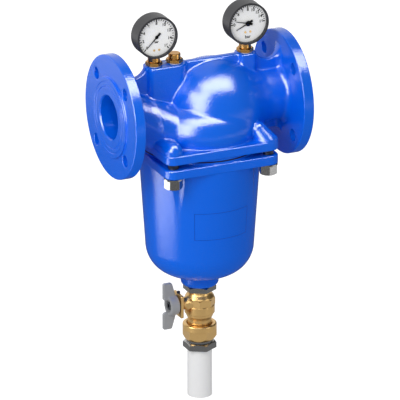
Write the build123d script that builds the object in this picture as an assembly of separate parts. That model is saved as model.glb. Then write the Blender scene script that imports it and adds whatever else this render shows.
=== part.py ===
from build123d import *
import os
from math import cos, radians, sin, sqrt, tan

# Self cleaning filter for a flanged water main, in millimetres.
# The model is drawn about the upright axis of its bowl, with the pipe axis at height 0,
# and is moved along the pipe at the end, so that the origin is the middle of the inlet face.

# Pipe flanges
FACE_TO_FACE = 290.0
FLANGE_OUTER = 185.0
FLANGE_RIM = 16.0
RAISED_OUTER = 120.0
RAISED_HEIGHT = 3.0
FLANGE_PITCH = 145.0
FLANGE_HOLE = 18.0
FLANGE_HOLE_COUNT = 4
PIPE_BORE = 65.0
NECK_OUTER = 80.0

# Cast body
BODY_WALL = 7.0
DOME_X = 20.0
DOME_Z = -5.0
DOME_RADIUS = 76.5
DOME_FLOOR = -14.0
CHAMBER_RING_RADIUS = 51.0
CHAMBER_TUBE_RADIUS = 36.0
CHAMBER_Z = -21.0
HORN_END_X = -40.0
HORN_END_Z = -16.0
HORN_END_WIDTH = 140.0
HORN_END_HEIGHT = 60.0
SPINE_TOP = 70.0
SPINE_THICK = 12.0
SPINE_DIP = 15.0
SPINE_END_DROP = 4.0
LOW_RIB_DEPTH = 52.0
FITTING_INLET_X = -73.0
FITTING_PLUG_X = -40.3
FITTING_OUTLET_X = 72.5
TOWER_HALF_WIDTH = 17.0
TOWER_OVERHANG = 12.5
BOSS_LENGTH = 25.0
BOSS_HALF_WIDTH = 15.0
EDGE_ROUND = 3.0
TAPPING_LENGTH = 15.0
SENSE_HOLE = 6.0

# Square flanges between the body and the bowl
PLATE_WIDTH = 180.0
PLATE_CORNER = 14.3
BODY_PLATE_TOP = -41.5
BODY_PLATE_THICK = 14.0
PLATE_GAP = 8.0
BOWL_PLATE_THICK = 13.0
REGISTER_HEIGHT = 3.0
REGISTER_MARGIN = 2.0
MOUTH_MARGIN = 11.0
CORNER_FOOT_RADIUS = 14.0
CORNER_FOOT_RISE = 3.5
CORNER_HEAD_RADIUS = 20.5
CORNER_HEAD_RISE = 7.0
CORNER_LENGTH = 23.0

# Bowl bolts
BOLT_RADIUS = 8.0
BOLT_DEPTH = 24.0
BOLT_HEAD_ACROSS = 24.0
BOLT_HEAD_HEIGHT = 10.0
BOLT_TURNS = (45.0, 15.0)
WASHER_RADIUS = 14.0
WASHER_THICK = 2.5

# Bowl
BOWL_MARGIN = 0.7
BOWL_TAPER = 3.87
BOWL_BOTTOM = -265.0
BOWL_CROWN = 201.0
BOWL_CORNER = 46.4
BOWL_WALL = 8.0
BOWL_FLOOR = 10.0
SCALLOP_RADIUS = 21.6
NECK_BOSS_RADIUS = 28.0
NECK_BOSS_DROP = 16.5
NECK_BOSS_ROUND = 4.0

# Filter insert, its spring and its cleaning rotor
INSERT_TRAVEL = 12.0
SEAT_RADIUS = 36.2
SEAT_WALL = 3.8
SEAT_FLANGE = 3.0
HEAD_WALL = 3.5
HEAD_LENGTH = 38.0
RING_GROOVE = 0.6
CAGE_RADIUS = 60.0
CAGE_THICK = 3.2
CAGE_BAR_COUNT = 8
CAGE_BAR_WIDTH = 5.0
CAGE_RING = 4.0
UPPER_MESH_LENGTH = 36.0
MAIN_MESH_LENGTH = 126.0
MESH_WALL = 1.3
BASE_THICK = 6.0
BASE_SKIRT = 2.0
DISCHARGE_RADIUS = 17.0
DISCHARGE_WALL = 2.0
DISCHARGE_LENGTH = 8.5
DISCHARGE_HOLE = 1.4
DISCHARGE_HOLE_COUNT = 6
AXLE_RADIUS = 5.0
ROTOR_RADIUS = 46.0
ROTOR_BLADE_COUNT = 8
ROTOR_BLADE_TWIST = 35.0
ROTOR_BLADE_THICK = 2.0
ROTOR_HEIGHT = 12.0
ROTOR_RIM = 2.0
ROTOR_BLADE_SHARE = 0.8
JET_ARM_RADIUS = 3.5
JET_ARM_COUNT = 2
SPRING_RADIUS = 21.0
SPRING_WIRE = 1.6
SPRING_TURNS = 3
SPRING_SIDES = 8
GUIDE_THICK = 3.0

# Fittings on top
FITTING_ACROSS = 22.0
FITTING_TURN = 37.0
FITTING_HEX = 6.0
FITTING_ROUND = 9.0
FITTING_THREAD = 8.0
SEAL_THICK = 1.0
ADAPTER_NECK = 7.5
PLUG_CAP = 8.0

# Pressure gauges
GAUGE_RADIUS = 32.0
GAUGE_REST = 0.5
GAUGE_FRONT = -15.0
GAUGE_BACK = 11.0
GAUGE_RIM = 3.0
GAUGE_WALL = 2.0
DIAL_DEPTH = 5.2
DIAL_THICK = 0.8
LENS_DEPTH = 1.2
LENS_THICK = 1.6
POINTER_LENGTH = 24.0
POINTER_TAIL = 9.0
POINTER_THICK = 0.5
POINTER_TIP = 0.3
POINTER_TAIL_FLARE = 1.4
POINTER_LIFT = 0.9
SET_POINTER_LIFT = 1.7
ARBOR_RADIUS = 0.8
SHANK_RADIUS = 5.0
TUBE_CURL = 19.0
TUBE_RADIUS = 2.6
TUBE_DEPTH = 1.5
TUBE_SWEEP = 250.0
TUBE_START = 95.0
FOOT_WIDTH = 12.0
FOOT_DEPTH = 10.0
MOVEMENT_WIDTH = 15.0
MOVEMENT_HEIGHT = 22.0
MOVEMENT_PLATE = 1.2
MOVEMENT_GAP = 7.0
PILLAR_RADIUS = 1.5
RIVET_RADIUS = 1.6
RIVET_HEIGHT = 0.7
RIVET_SPACING = 8.0
INLET_POINTER_ANGLE = 225.0
OUTLET_POINTER_ANGLE = 205.0
SET_POINTER_ANGLE = 165.0

# Drain line
NIPPLE_ACROSS = 43.0
NIPPLE_HEX = 8.5
NIPPLE_THREAD = 16.0
DRAIN_BORE = 10.0
BALL_DROP = 28.0
BALL_RADIUS = 15.0
VALVE_TOP_RADIUS = 17.6
VALVE_WAIST_RADIUS = 21.2
VALVE_BAND_RADIUS = 22.4
VALVE_BAND_BELOW = 17.0
SEAT_HALF = 15.0
TAIL_RADIUS = 17.5
TAIL_LENGTH = 28.0
TAIL_COLLAR = 19.3
COLLAR_THICK = 5.0
UNION_ACROSS = 44.0
UNION_ROUND = 25.2
UNION_HEIGHT = 25.0
UNION_SHOULDER = 7.0
UNION_HEX = 16.0
ADAPTER_THREAD = 19.5
ADAPTER_ACROSS = 43.5
ADAPTER_HEX = 10.0
PIPE_OUTER = 36.2
PIPE_WALL = 2.7
PIPE_SHOWN = 75.0
PIPE_THREAD = 16.6

# Valve handle, turning about a stem that points at the inlet side
STEM_RADIUS = 5.0
STEM_BOSS_RADIUS = 9.0
STEM_BOSS_END = 28.0
GLAND_ACROSS = 16.0
STOP_PLATE_FACE = 36.0
STOP_PLATE_THICK = 4.0
STOP_PLATE_HALF_WIDTH = 15.0
STOP_PLATE_HALF_HEIGHT = 17.5
HUB_START = 37.0
HUB_END = 51.0
HUB_RADIUS = 14.5
HUB_RECESS = 4.0
HUB_RECESS_RADIUS = 10.0
SCREW_HEAD_RADIUS = 6.0
SCREW_SOCKET_RADIUS = 3.0
SCREW_SHANK_RADIUS = 2.5
WING_REACH = 36.0
WING_INNER = 10.5
WING_FRONT = 59.0
WING_BACK = 45.5
WING_THICK = 6.0
WING_ROUND = 2.5

# Clearances
RUNNING = 0.1
LOOSE = 0.3
BOLT_CLEARANCE = 0.75

# Heights and places that follow from the sizes above
RUN_END = FACE_TO_FACE / 2
FLANGE_BACK = RUN_END - RAISED_HEIGHT - FLANGE_RIM
PLATE_HALF = PLATE_WIDTH / 2
REGISTER_RADIUS = PLATE_HALF - REGISTER_MARGIN
MOUTH_RADIUS = PLATE_HALF - MOUTH_MARGIN
BOWL_TOP_RADIUS = PLATE_HALF - BOWL_MARGIN
BODY_PLATE_BOTTOM = BODY_PLATE_TOP - BODY_PLATE_THICK
BOWL_PLATE_TOP = BODY_PLATE_BOTTOM - PLATE_GAP
BOWL_PLATE_BOTTOM = BOWL_PLATE_TOP - BOWL_PLATE_THICK
BOLT_OFFSET = PLATE_HALF - PLATE_CORNER
BOWL_INNER_FLOOR = BOWL_BOTTOM + BOWL_FLOOR
NECK_BOSS_BOTTOM = BOWL_BOTTOM - NECK_BOSS_DROP
SEAT_BOTTOM = DOME_FLOOR - BODY_WALL - SEAT_FLANGE
HEAD_TOP = SEAT_BOTTOM - LOOSE
CAGE_TOP = HEAD_TOP - HEAD_LENGTH
MAIN_MESH_TOP = CAGE_TOP - UPPER_MESH_LENGTH
BASE_TOP = MAIN_MESH_TOP - MAIN_MESH_LENGTH
BASE_BOTTOM = BASE_TOP - BASE_THICK
GUIDE_TOP = BOWL_INNER_FLOOR + GUIDE_THICK
MESH_OUTER = CAGE_RADIUS - CAGE_THICK
HEX_BOTTOM = SPINE_TOP + SEAL_THICK
HEX_TOP = HEX_BOTTOM + FITTING_HEX
TAPPING_BOTTOM = SPINE_TOP - TAPPING_LENGTH
ADAPTER_TOP = HEX_TOP + ADAPTER_NECK
GAUGE_HEIGHT = ADAPTER_TOP + GAUGE_REST + GAUGE_RADIUS
DIAL_FACE = GAUGE_FRONT + DIAL_DEPTH
LENS_FACE = GAUGE_FRONT + LENS_DEPTH
CASE_BORE = GAUGE_RADIUS - GAUGE_RIM
VALVE_TOP = NECK_BOSS_BOTTOM - NIPPLE_HEX
BALL_Z = NECK_BOSS_BOTTOM - BALL_DROP
VALVE_BOTTOM = BALL_Z - VALVE_BAND_BELOW
TAIL_BOTTOM = VALVE_BOTTOM - TAIL_LENGTH
UNION_TOP = TAIL_BOTTOM + COLLAR_THICK + UNION_SHOULDER
UNION_BOTTOM = UNION_TOP - UNION_HEIGHT
GASKET_THICK = 2.0
OUTLET_ADAPTER_TOP = TAIL_BOTTOM - GASKET_THICK
OUTLET_HEX_TOP = UNION_BOTTOM - 4.0
OUTLET_HEX_BOTTOM = OUTLET_HEX_TOP - ADAPTER_HEX
PIPE_BOTTOM = OUTLET_HEX_BOTTOM - PIPE_SHOWN

PLATE_REACH = 4 * PLATE_HALF
FROM_BASE = (Align.CENTER, Align.CENTER, Align.MIN)
IN_LINE = Pos(RUN_END, 0, 0)
CORNERS = [(sx * BOLT_OFFSET, sy * BOLT_OFFSET) for sx in (-1, 1) for sy in (-1, 1)]


def rod(radius, low, high, x=0.0, y=0.0):
    """Upright cylinder between two heights."""
    return Pos(x, y, low) * Cylinder(radius, high - low, align=FROM_BASE)


def rod_x(radius, low, high, y=0.0, z=0.0):
    """Cylinder along the pipe, between two places on it."""
    return Pos(low, y, z) * Rot(0, 90, 0) * Cylinder(radius, high - low, align=FROM_BASE)


def rod_y(radius, low, high, x=0.0, z=0.0):
    """Cylinder from front to back, between two depths."""
    return Pos(x, low, z) * Rot(-90, 0, 0) * Cylinder(radius, high - low, align=FROM_BASE)


def ring(outer, inner, low, high, x=0.0, y=0.0):
    """Upright tube between two heights."""
    return rod(outer, low, high, x, y) - rod(inner, low, high, x, y)


def hexagon(across, low, high, turn=30.0, x=0.0, y=0.0):
    """Upright hexagonal prism, measured across its flats."""
    outline = RegularPolygon(across / 2, 6, major_radius=False, rotation=turn)
    return Pos(x, y, low) * extrude(outline, high - low)


def block(x_low, x_high, y_half, z_low, z_high):
    """Box that is even about the middle plane of the pipe."""
    size = Box(x_high - x_low, 2 * y_half, z_high - z_low, align=(Align.MIN, Align.CENTER, Align.MIN))
    return Pos(x_low, 0, z_low) * size


def turned(points):
    """Solid turned about the bowl axis from (radius, height) corners."""
    return revolve(Plane.XZ * make_face(Polyline(*points, close=True)), Axis.Z)


def whole(shape):
    """The one solid that a boolean leaves."""
    solids = shape.solids()
    return solids.sort_by(lambda solid: solid.volume)[-1]


def save(name, *solids):
    """Moves a piece into the frame of the inlet face and writes it."""
    moved = [IN_LINE * solid for solid in solids]
    shape = moved[0] if len(moved) == 1 else Compound(children=moved)
    export_step(shape, f"parts/{name}.step")


# Cast body

def pipe_flange(side):
    """Round flange with its raised face and neck; side is -1 at the inlet and 1 at the outlet."""
    face = side * RUN_END
    rim_face = face - side * RAISED_HEIGHT
    rim_back = rim_face - side * FLANGE_RIM
    disc = rod_x(FLANGE_OUTER / 2, min(rim_face, rim_back), max(rim_face, rim_back))
    disc = fillet(disc.edges().filter_by(GeomType.CIRCLE), 1.5)
    raised = rod_x(RAISED_OUTER / 2, min(face, rim_face), max(face, rim_face))
    return disc + raised


def flange_holes(side):
    """Bolt holes of one pipe flange."""
    centre = side * (RUN_END - RAISED_HEIGHT - FLANGE_RIM / 2)
    holes = []
    for index in range(FLANGE_HOLE_COUNT):
        angle = radians((index + 0.5) * 360 / FLANGE_HOLE_COUNT)
        y = FLANGE_PITCH / 2 * cos(angle)
        z = FLANGE_PITCH / 2 * sin(angle)
        holes.append(rod_x(FLANGE_HOLE / 2, centre - FLANGE_RIM, centre + FLANGE_RIM, y, z))
    return holes


def belly_form(inset):
    """Round chamber over the plate, turned from a tube section, with a flat roof inside the tube's ring."""
    tube = CHAMBER_TUBE_RADIUS - inset
    drop = CHAMBER_Z - BODY_PLATE_TOP
    foot = CHAMBER_RING_RADIUS + sqrt(tube**2 - drop**2)
    top = CHAMBER_Z + tube
    middle = (CHAMBER_RING_RADIUS + tube / sqrt(2), CHAMBER_Z + tube / sqrt(2))
    side = ThreePointArc((foot, BODY_PLATE_TOP), middle, (CHAMBER_RING_RADIUS, top))
    rest = Polyline((CHAMBER_RING_RADIUS, top), (0, top), (0, BODY_PLATE_TOP), (foot, BODY_PLATE_TOP))
    return revolve(Plane.XZ * make_face([side, rest]), Axis.Z)


def horn_form(inset):
    """Inlet passage, from the round neck to the low wide mouth of the chamber."""
    start = Plane(origin=(-FLANGE_BACK, 0, 0), z_dir=(1, 0, 0))
    end = Plane(origin=(HORN_END_X, 0, HORN_END_Z), x_dir=(0, 1, 0), z_dir=(1, 0, 0))
    round_end = start * Circle(NECK_OUTER / 2 - inset)
    wide_end = end * Ellipse(HORN_END_WIDTH / 2 - inset, HORN_END_HEIGHT / 2 - inset)
    return loft([round_end, wide_end])


def spine():
    """Upright web along the pipe, its top dipping between each boss and its flange."""
    inner = FITTING_INLET_X - TOWER_OVERHANG
    outer = FITTING_OUTLET_X + BOSS_LENGTH / 2
    back = FLANGE_BACK
    end = SPINE_TOP - SPINE_END_DROP
    dip = SPINE_TOP - SPINE_DIP
    top = Line((inner, SPINE_TOP), (outer, SPINE_TOP))
    right = ThreePointArc((outer, SPINE_TOP), ((outer + back) / 2, dip), (back, end))
    left = ThreePointArc((-back, end), ((inner - back) / 2, dip), (inner, SPINE_TOP))
    down = Polyline((back, end), (back, 0), (-back, 0), (-back, end))
    outline = Plane.XZ * make_face([left, top, right, down])
    web = extrude(outline, SPINE_THICK / 2, both=True)
    crest = [edge for edge in web.edges() if edge.center().Z > dip - EDGE_ROUND
             and abs(abs(edge.center().Y) - SPINE_THICK / 2) < RUNNING]
    return fillet(crest, EDGE_ROUND)


def tower():
    """Boss that carries the inlet gauge and the plug, round at its inner end."""
    low = FITTING_INLET_X - TOWER_OVERHANG
    box = block(low, FITTING_PLUG_X, TOWER_HALF_WIDTH, 0, SPINE_TOP)
    nose = rod(TOWER_HALF_WIDTH, 0, SPINE_TOP, FITTING_PLUG_X)
    form = whole(box + nose)
    upright = [edge for edge in form.edges().filter_by(Axis.Z) if edge.center().X < low + 1]
    form = fillet(upright, EDGE_ROUND)
    return fillet(form.faces().sort_by(Axis.Z)[-1].edges(), EDGE_ROUND / 2)


def outlet_boss():
    """Boss that carries the outlet gauge."""
    half = BOSS_LENGTH / 2
    box = block(FITTING_OUTLET_X - half, FITTING_OUTLET_X + half, BOSS_HALF_WIDTH, 0, SPINE_TOP)
    box = fillet(box.edges().filter_by(Axis.Z), EDGE_ROUND * 2)
    return fillet(box.faces().sort_by(Axis.Z)[-1].edges(), EDGE_ROUND / 2)


def low_rib():
    """Rib under both necks, standing on the square flange."""
    return block(-FLANGE_BACK, FLANGE_BACK, SPINE_THICK / 2, -LOW_RIB_DEPTH, 0)


def corner_boss(x, y):
    """Blind boss over a bowl bolt, a round cone that widens inwards to the chamber."""
    inward = -CORNER_LENGTH / sqrt(2)
    start = Vector(x, y, BODY_PLATE_TOP + CORNER_FOOT_RISE)
    rise = CORNER_HEAD_RISE - CORNER_FOOT_RISE
    step = Vector(inward * (1 if x > 0 else -1), inward * (1 if y > 0 else -1), rise)
    # The straight side touches both round ends where it is square to their radii.
    lean = (CORNER_HEAD_RADIUS - CORNER_FOOT_RADIUS) / step.length
    side = sqrt(1 - lean**2)
    low = (CORNER_FOOT_RADIUS * side, -CORNER_FOOT_RADIUS * lean)
    high = (CORNER_HEAD_RADIUS * side, step.length - CORNER_HEAD_RADIUS * lean)
    foot = RadiusArc((0, -CORNER_FOOT_RADIUS), low, -CORNER_FOOT_RADIUS)
    head = RadiusArc(high, (0, step.length + CORNER_HEAD_RADIUS), -CORNER_HEAD_RADIUS)
    rest = Line((0, step.length + CORNER_HEAD_RADIUS), (0, -CORNER_FOOT_RADIUS))
    form = revolve(Plane.XZ * make_face([foot, Line(low, high), head, rest]), Axis.Z)
    return Plane(origin=start, z_dir=step) * form


def square_plate(low, high):
    """Square flange with rounded corners, each round its bolt."""
    outline = RectangleRounded(2 * PLATE_HALF, 2 * PLATE_HALF, PLATE_CORNER)
    return Pos(0, 0, low) * extrude(outline, high - low)


def raw_water_space():
    """Space from the inlet bore, round the dome's cup, down to the bowl."""
    space = belly_form(BODY_WALL) + rod(MOUTH_RADIUS, BODY_PLATE_BOTTOM - REGISTER_HEIGHT, BODY_PLATE_TOP)
    space += horn_form(BODY_WALL)
    space += rod_x(PIPE_BORE / 2, -RUN_END, -FLANGE_BACK)
    cup = Pos(DOME_X, 0, DOME_Z) * Sphere(DOME_RADIUS)
    cup &= rod(PLATE_REACH, DOME_FLOOR - BODY_WALL, PLATE_REACH)
    space -= cup
    space -= rod_x(NECK_OUTER / 2, FITTING_OUTLET_X - BOSS_LENGTH, RUN_END)
    return space


def clean_water_space():
    """Space inside the dome, out to the outlet bore, and its round mouth below."""
    dome = Pos(DOME_X, 0, DOME_Z) * Sphere(DOME_RADIUS - BODY_WALL)
    dome &= rod(PLATE_REACH, DOME_FLOOR, PLATE_REACH)
    dome += rod_x(PIPE_BORE / 2, FITTING_OUTLET_X - BOSS_LENGTH + BODY_WALL, RUN_END)
    return dome + rod(SEAT_RADIUS + SEAT_WALL, DOME_FLOOR - BODY_WALL, DOME_FLOOR)


def housing_body():
    """The whole casting, hollow and drilled."""
    form = pipe_flange(-1) + pipe_flange(1)
    form += horn_form(0)
    form += belly_form(0)
    dome = Pos(DOME_X, 0, DOME_Z) * Sphere(DOME_RADIUS)
    form += dome & rod(PLATE_REACH, BODY_PLATE_TOP, PLATE_REACH)
    form += rod_x(NECK_OUTER / 2, 0, FLANGE_BACK)
    form += spine()
    form += low_rib()
    form += tower()
    form += outlet_boss()
    form += square_plate(BODY_PLATE_BOTTOM, BODY_PLATE_TOP)
    form += rod(REGISTER_RADIUS, BODY_PLATE_BOTTOM - REGISTER_HEIGHT, BODY_PLATE_BOTTOM)
    for x, y in CORNERS:
        form += corner_boss(x, y)
    form -= raw_water_space()
    form -= clean_water_space()
    for hole in flange_holes(-1) + flange_holes(1):
        form -= hole
    for x, y in CORNERS:
        form -= rod(BOLT_RADIUS, BODY_PLATE_BOTTOM, BODY_PLATE_BOTTOM + BOLT_DEPTH, x, y)
    for x in (FITTING_INLET_X, FITTING_PLUG_X, FITTING_OUTLET_X):
        form -= rod(FITTING_THREAD, TAPPING_BOTTOM, SPINE_TOP, x)
    for x in (FITTING_INLET_X, FITTING_OUTLET_X):
        form -= rod(SENSE_HOLE / 2, 0, TAPPING_BOTTOM, x)
    return whole(form)


# Bowl and its fastenings

def bowl_form(inset, high):
    """Tapered cup with a crowned bottom and a round corner, turned from its profile up to a height."""
    slope = tan(radians(BOWL_TAPER))
    high_radius = BOWL_TOP_RADIUS + slope * (high - BOWL_PLATE_BOTTOM) - inset
    crown = BOWL_CROWN - inset
    centre = BOWL_BOTTOM + BOWL_CROWN
    # The side is radius = high_radius + slope * (z - high); it meets the crown's circle at corner_z.
    reach = high_radius + slope * (centre - high)
    corner_z = (-slope * reach - sqrt(crown**2 * (1 + slope**2) - reach**2)) / (1 + slope**2)
    corner_radius = reach + slope * corner_z
    middle_z = -sqrt(crown**2 - corner_radius**2 / 4)
    bottom = ThreePointArc((0, centre - crown), (corner_radius / 2, centre + middle_z),
                           (corner_radius, centre + corner_z))
    side = Line((corner_radius, centre + corner_z), (high_radius, high))
    rest = Polyline((high_radius, high), (0, high), (0, centre - crown))
    profile = make_face([bottom, side, rest])
    corner = profile.vertices().sort_by(lambda v: abs(v.X - corner_radius) + abs(v.Y - centre - corner_z))[0]
    profile = fillet(corner, BOWL_CORNER - inset)
    return revolve(Plane.XZ * profile, Axis.Z)


def filter_bowl():
    """Casting below the square flange, relieved round the bolts, with its drain boss."""
    body = bowl_form(0, BOWL_PLATE_BOTTOM)
    for x, y in CORNERS:
        body -= rod(SCALLOP_RADIUS, BOWL_BOTTOM, BOWL_PLATE_BOTTOM, x, y)
    body += square_plate(BOWL_PLATE_BOTTOM, BOWL_PLATE_TOP)
    body += rod(REGISTER_RADIUS, BOWL_PLATE_TOP, BOWL_PLATE_TOP + REGISTER_HEIGHT)
    boss = rod(NECK_BOSS_RADIUS, NECK_BOSS_BOTTOM, BOWL_INNER_FLOOR)
    boss = fillet(boss.edges().filter_by(GeomType.CIRCLE).sort_by(Axis.Z)[0], NECK_BOSS_ROUND)
    body += boss
    water = bowl_form(BOWL_WALL, BOWL_PLATE_TOP + REGISTER_HEIGHT)
    body -= water - rod(PLATE_REACH, BOWL_BOTTOM, BOWL_INNER_FLOOR)
    body -= rod(NIPPLE_THREAD, NECK_BOSS_BOTTOM, BOWL_INNER_FLOOR - BODY_WALL)
    body -= rod(DRAIN_BORE, BOWL_INNER_FLOOR - BODY_WALL, BOWL_INNER_FLOOR)
    for x, y in CORNERS:
        body -= rod(BOLT_RADIUS + BOLT_CLEARANCE, BOWL_PLATE_BOTTOM, BOWL_PLATE_TOP, x, y)
    return whole(body)


def bowl_bolt(x, y):
    """Hexagon bolt, screwed up into the body."""
    head_top = BOWL_PLATE_BOTTOM - WASHER_THICK
    turn = BOLT_TURNS[0] if x * y > 0 else BOLT_TURNS[1]
    head = hexagon(BOLT_HEAD_ACROSS, head_top - BOLT_HEAD_HEIGHT, head_top, turn, x, y)
    return whole(head + rod(BOLT_RADIUS, head_top, BODY_PLATE_BOTTOM + BOLT_DEPTH - BOLT_CLEARANCE, x, y))


def bowl_washer(x, y):
    """Flat washer under a bolt head."""
    inner = BOLT_RADIUS + BOLT_CLEARANCE / 2
    return ring(WASHER_RADIUS, inner, BOWL_PLATE_BOTTOM - WASHER_THICK, BOWL_PLATE_BOTTOM, x, y)


# Filter insert

def seat_ring():
    """Bronze ring pressed into the dome's floor."""
    sleeve = ring(SEAT_RADIUS + SEAT_WALL, SEAT_RADIUS, DOME_FLOOR - BODY_WALL, DOME_FLOOR)
    flange = ring(SEAT_RADIUS + 2 * SEAT_WALL, SEAT_RADIUS, SEAT_BOTTOM, DOME_FLOOR - BODY_WALL)
    return whole(sleeve + flange)


def insert_head():
    """Funnel that carries clean water up through the seat ring."""
    pipe = SEAT_RADIUS - 2 * LOOSE
    shoulder = SEAT_RADIUS + 2 * SEAT_WALL
    tip = DOME_FLOOR + INSERT_TRAVEL
    outer = [(pipe - HEAD_WALL, tip), (pipe, tip), (pipe, HEAD_TOP), (shoulder, HEAD_TOP),
             (shoulder, HEAD_TOP - HEAD_LENGTH / 2), (CAGE_RADIUS, CAGE_TOP + CAGE_RING), (CAGE_RADIUS, CAGE_TOP)]
    inner = [(MESH_OUTER - MESH_WALL, CAGE_TOP), (MESH_OUTER - MESH_WALL, CAGE_TOP + CAGE_RING / 2),
             (pipe - HEAD_WALL, HEAD_TOP - HEAD_LENGTH / 4)]
    head = turned(outer + inner)
    for low in head_ring_heights():
        head -= ring(pipe, pipe - RING_GROOVE, low, low + CAGE_RING / 2)
    return whole(head)


def head_ring_heights():
    """Lower edges of the two grooves in the head, both inside the seat ring at rest."""
    middle = DOME_FLOOR - BODY_WALL / 2
    return (middle - CAGE_RING, middle + CAGE_RING / 2)


def head_ring(low):
    """Square seal in one groove of the head."""
    pipe = SEAT_RADIUS - 2 * LOOSE
    return ring(SEAT_RADIUS - LOOSE, pipe - RING_GROOVE, low, low + CAGE_RING / 2)


def filter_cage():
    """Rings and upright bars that hold both meshes."""
    cage = ring(CAGE_RADIUS, MESH_OUTER, MAIN_MESH_TOP - CAGE_RING / 2, MAIN_MESH_TOP + CAGE_RING / 2)
    middle = (MAIN_MESH_TOP + BASE_TOP) / 2
    for low in (CAGE_TOP - CAGE_RING, middle, BASE_TOP):
        cage += ring(CAGE_RADIUS, MESH_OUTER, low, low + CAGE_RING)
    for index in range(CAGE_BAR_COUNT):
        bar = block(MESH_OUTER + CAGE_THICK / 8, CAGE_RADIUS - CAGE_THICK / 8, CAGE_BAR_WIDTH / 2, BASE_TOP, CAGE_TOP)
        cage += Rot(0, 0, index * 360 / CAGE_BAR_COUNT) * bar
    return whole(cage)


def insert_base():
    """Bottom cap with the axle socket and the discharge tube."""
    base = rod(CAGE_RADIUS - BASE_SKIRT, BASE_BOTTOM, BASE_TOP)
    base += rod(2 * AXLE_RADIUS, BASE_TOP, BASE_TOP + BASE_THICK)
    base -= rod(AXLE_RADIUS, BASE_BOTTOM + BASE_THICK / 2, BASE_TOP + BASE_THICK)
    for index in range(DISCHARGE_HOLE_COUNT):
        angle = radians(index * 360 / DISCHARGE_HOLE_COUNT)
        reach = DISCHARGE_RADIUS - AXLE_RADIUS - LOOSE
        base -= rod(DISCHARGE_HOLE, BASE_BOTTOM, BASE_TOP, reach * cos(angle), reach * sin(angle))
    tube = ring(DISCHARGE_RADIUS, DISCHARGE_RADIUS - DISCHARGE_WALL, BASE_BOTTOM - DISCHARGE_LENGTH, BASE_BOTTOM)
    return whole(base + tube)


def rotor_axle():
    """Fixed axle of the cleaning rotor."""
    return rod(AXLE_RADIUS, BASE_BOTTOM + BASE_THICK / 2, MAIN_MESH_TOP)


def impeller():
    """Bladed wheel that the flushing water drives."""
    low = MAIN_MESH_TOP - 3 * ROTOR_HEIGHT
    high = low + ROTOR_HEIGHT
    hub = 2 * AXLE_RADIUS
    wheel = rod(hub, low, high) + ring(ROTOR_RADIUS, ROTOR_RADIUS - ROTOR_RIM, low, high)
    length = ROTOR_RADIUS - ROTOR_RIM / 2 - hub / 2
    for index in range(ROTOR_BLADE_COUNT):
        blade = Box(length, ROTOR_BLADE_THICK, ROTOR_HEIGHT / cos(radians(ROTOR_BLADE_TWIST)) * ROTOR_BLADE_SHARE)
        blade = Pos(hub / 2 + length / 2, 0, (low + high) / 2) * Rot(ROTOR_BLADE_TWIST, 0, 0) * blade
        wheel += Rot(0, 0, index * 360 / ROTOR_BLADE_COUNT) * blade
    return whole(wheel - rod(AXLE_RADIUS + RUNNING, low, high))


def jet_arms():
    """Upright tubes under the wheel that wash the main mesh from inside."""
    top = MAIN_MESH_TOP - 3 * ROTOR_HEIGHT
    low = BASE_TOP + 2 * BASE_THICK
    hub_high = low + ROTOR_HEIGHT
    reach = ROTOR_RADIUS - JET_ARM_RADIUS
    arms = rod(2 * AXLE_RADIUS, low, hub_high)
    for index in range(JET_ARM_COUNT):
        turn = Rot(0, 0, index * 360 / JET_ARM_COUNT)
        arms += turn * rod(JET_ARM_RADIUS, low, top, reach)
        arms += turn * rod_x(JET_ARM_RADIUS, 0, reach, 0, low + ROTOR_HEIGHT / 2)
    return whole(arms - rod(AXLE_RADIUS + RUNNING, low, hub_high))


def return_spring():
    """Coil spring that lifts the insert on to its seat."""
    low = GUIDE_TOP + SPRING_WIRE
    high = BASE_BOTTOM - SPRING_WIRE
    path = Pos(0, 0, low) * Helix((high - low) / SPRING_TURNS, high - low, SPRING_RADIUS)
    section = Plane(path @ 0, z_dir=path % 0) * RegularPolygon(SPRING_WIRE, SPRING_SIDES)
    return whole(sweep(section, path, is_frenet=True))


def spring_guide():
    """Dished ring that centres the spring on the bowl's floor."""
    outer = SPRING_RADIUS + 3 * SPRING_WIRE
    dish = ring(outer, SPRING_RADIUS - 3 * SPRING_WIRE, BOWL_INNER_FLOOR, GUIDE_TOP)
    return whole(dish + ring(outer, outer - 2.0, GUIDE_TOP, GUIDE_TOP + GUIDE_THICK))


# Fittings on top

def adapter(x):
    """Hexagon fitting that a gauge screws into."""
    form = hexagon(FITTING_ACROSS, HEX_BOTTOM, HEX_TOP, FITTING_TURN, x)
    form += rod(FITTING_ROUND, HEX_TOP, ADAPTER_TOP, x)
    form += rod(FITTING_THREAD, TAPPING_BOTTOM + 1.0, HEX_BOTTOM, x)
    form -= rod(SHANK_RADIUS, HEX_BOTTOM, ADAPTER_TOP, x)
    return whole(form - rod(SENSE_HOLE / 2, TAPPING_BOTTOM, HEX_BOTTOM, x))


def vent_plug():
    """Solid plug with a round cap over its hexagon."""
    form = hexagon(FITTING_ACROSS, HEX_BOTTOM, HEX_TOP, FITTING_TURN, FITTING_PLUG_X)
    cap = rod(FITTING_ROUND, HEX_TOP, HEX_TOP + PLUG_CAP, FITTING_PLUG_X)
    form += fillet(cap.edges().filter_by(GeomType.CIRCLE).sort_by(Axis.Z)[-1], 1.0)
    return whole(form + rod(FITTING_THREAD, TAPPING_BOTTOM + 1.0, HEX_BOTTOM, FITTING_PLUG_X))


def fitting_seal(x):
    """Fibre ring under a hexagon."""
    return ring(FITTING_ACROSS / 2 - 0.5, FITTING_THREAD, SPINE_TOP, HEX_BOTTOM, x)


# Pressure gauges

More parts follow.
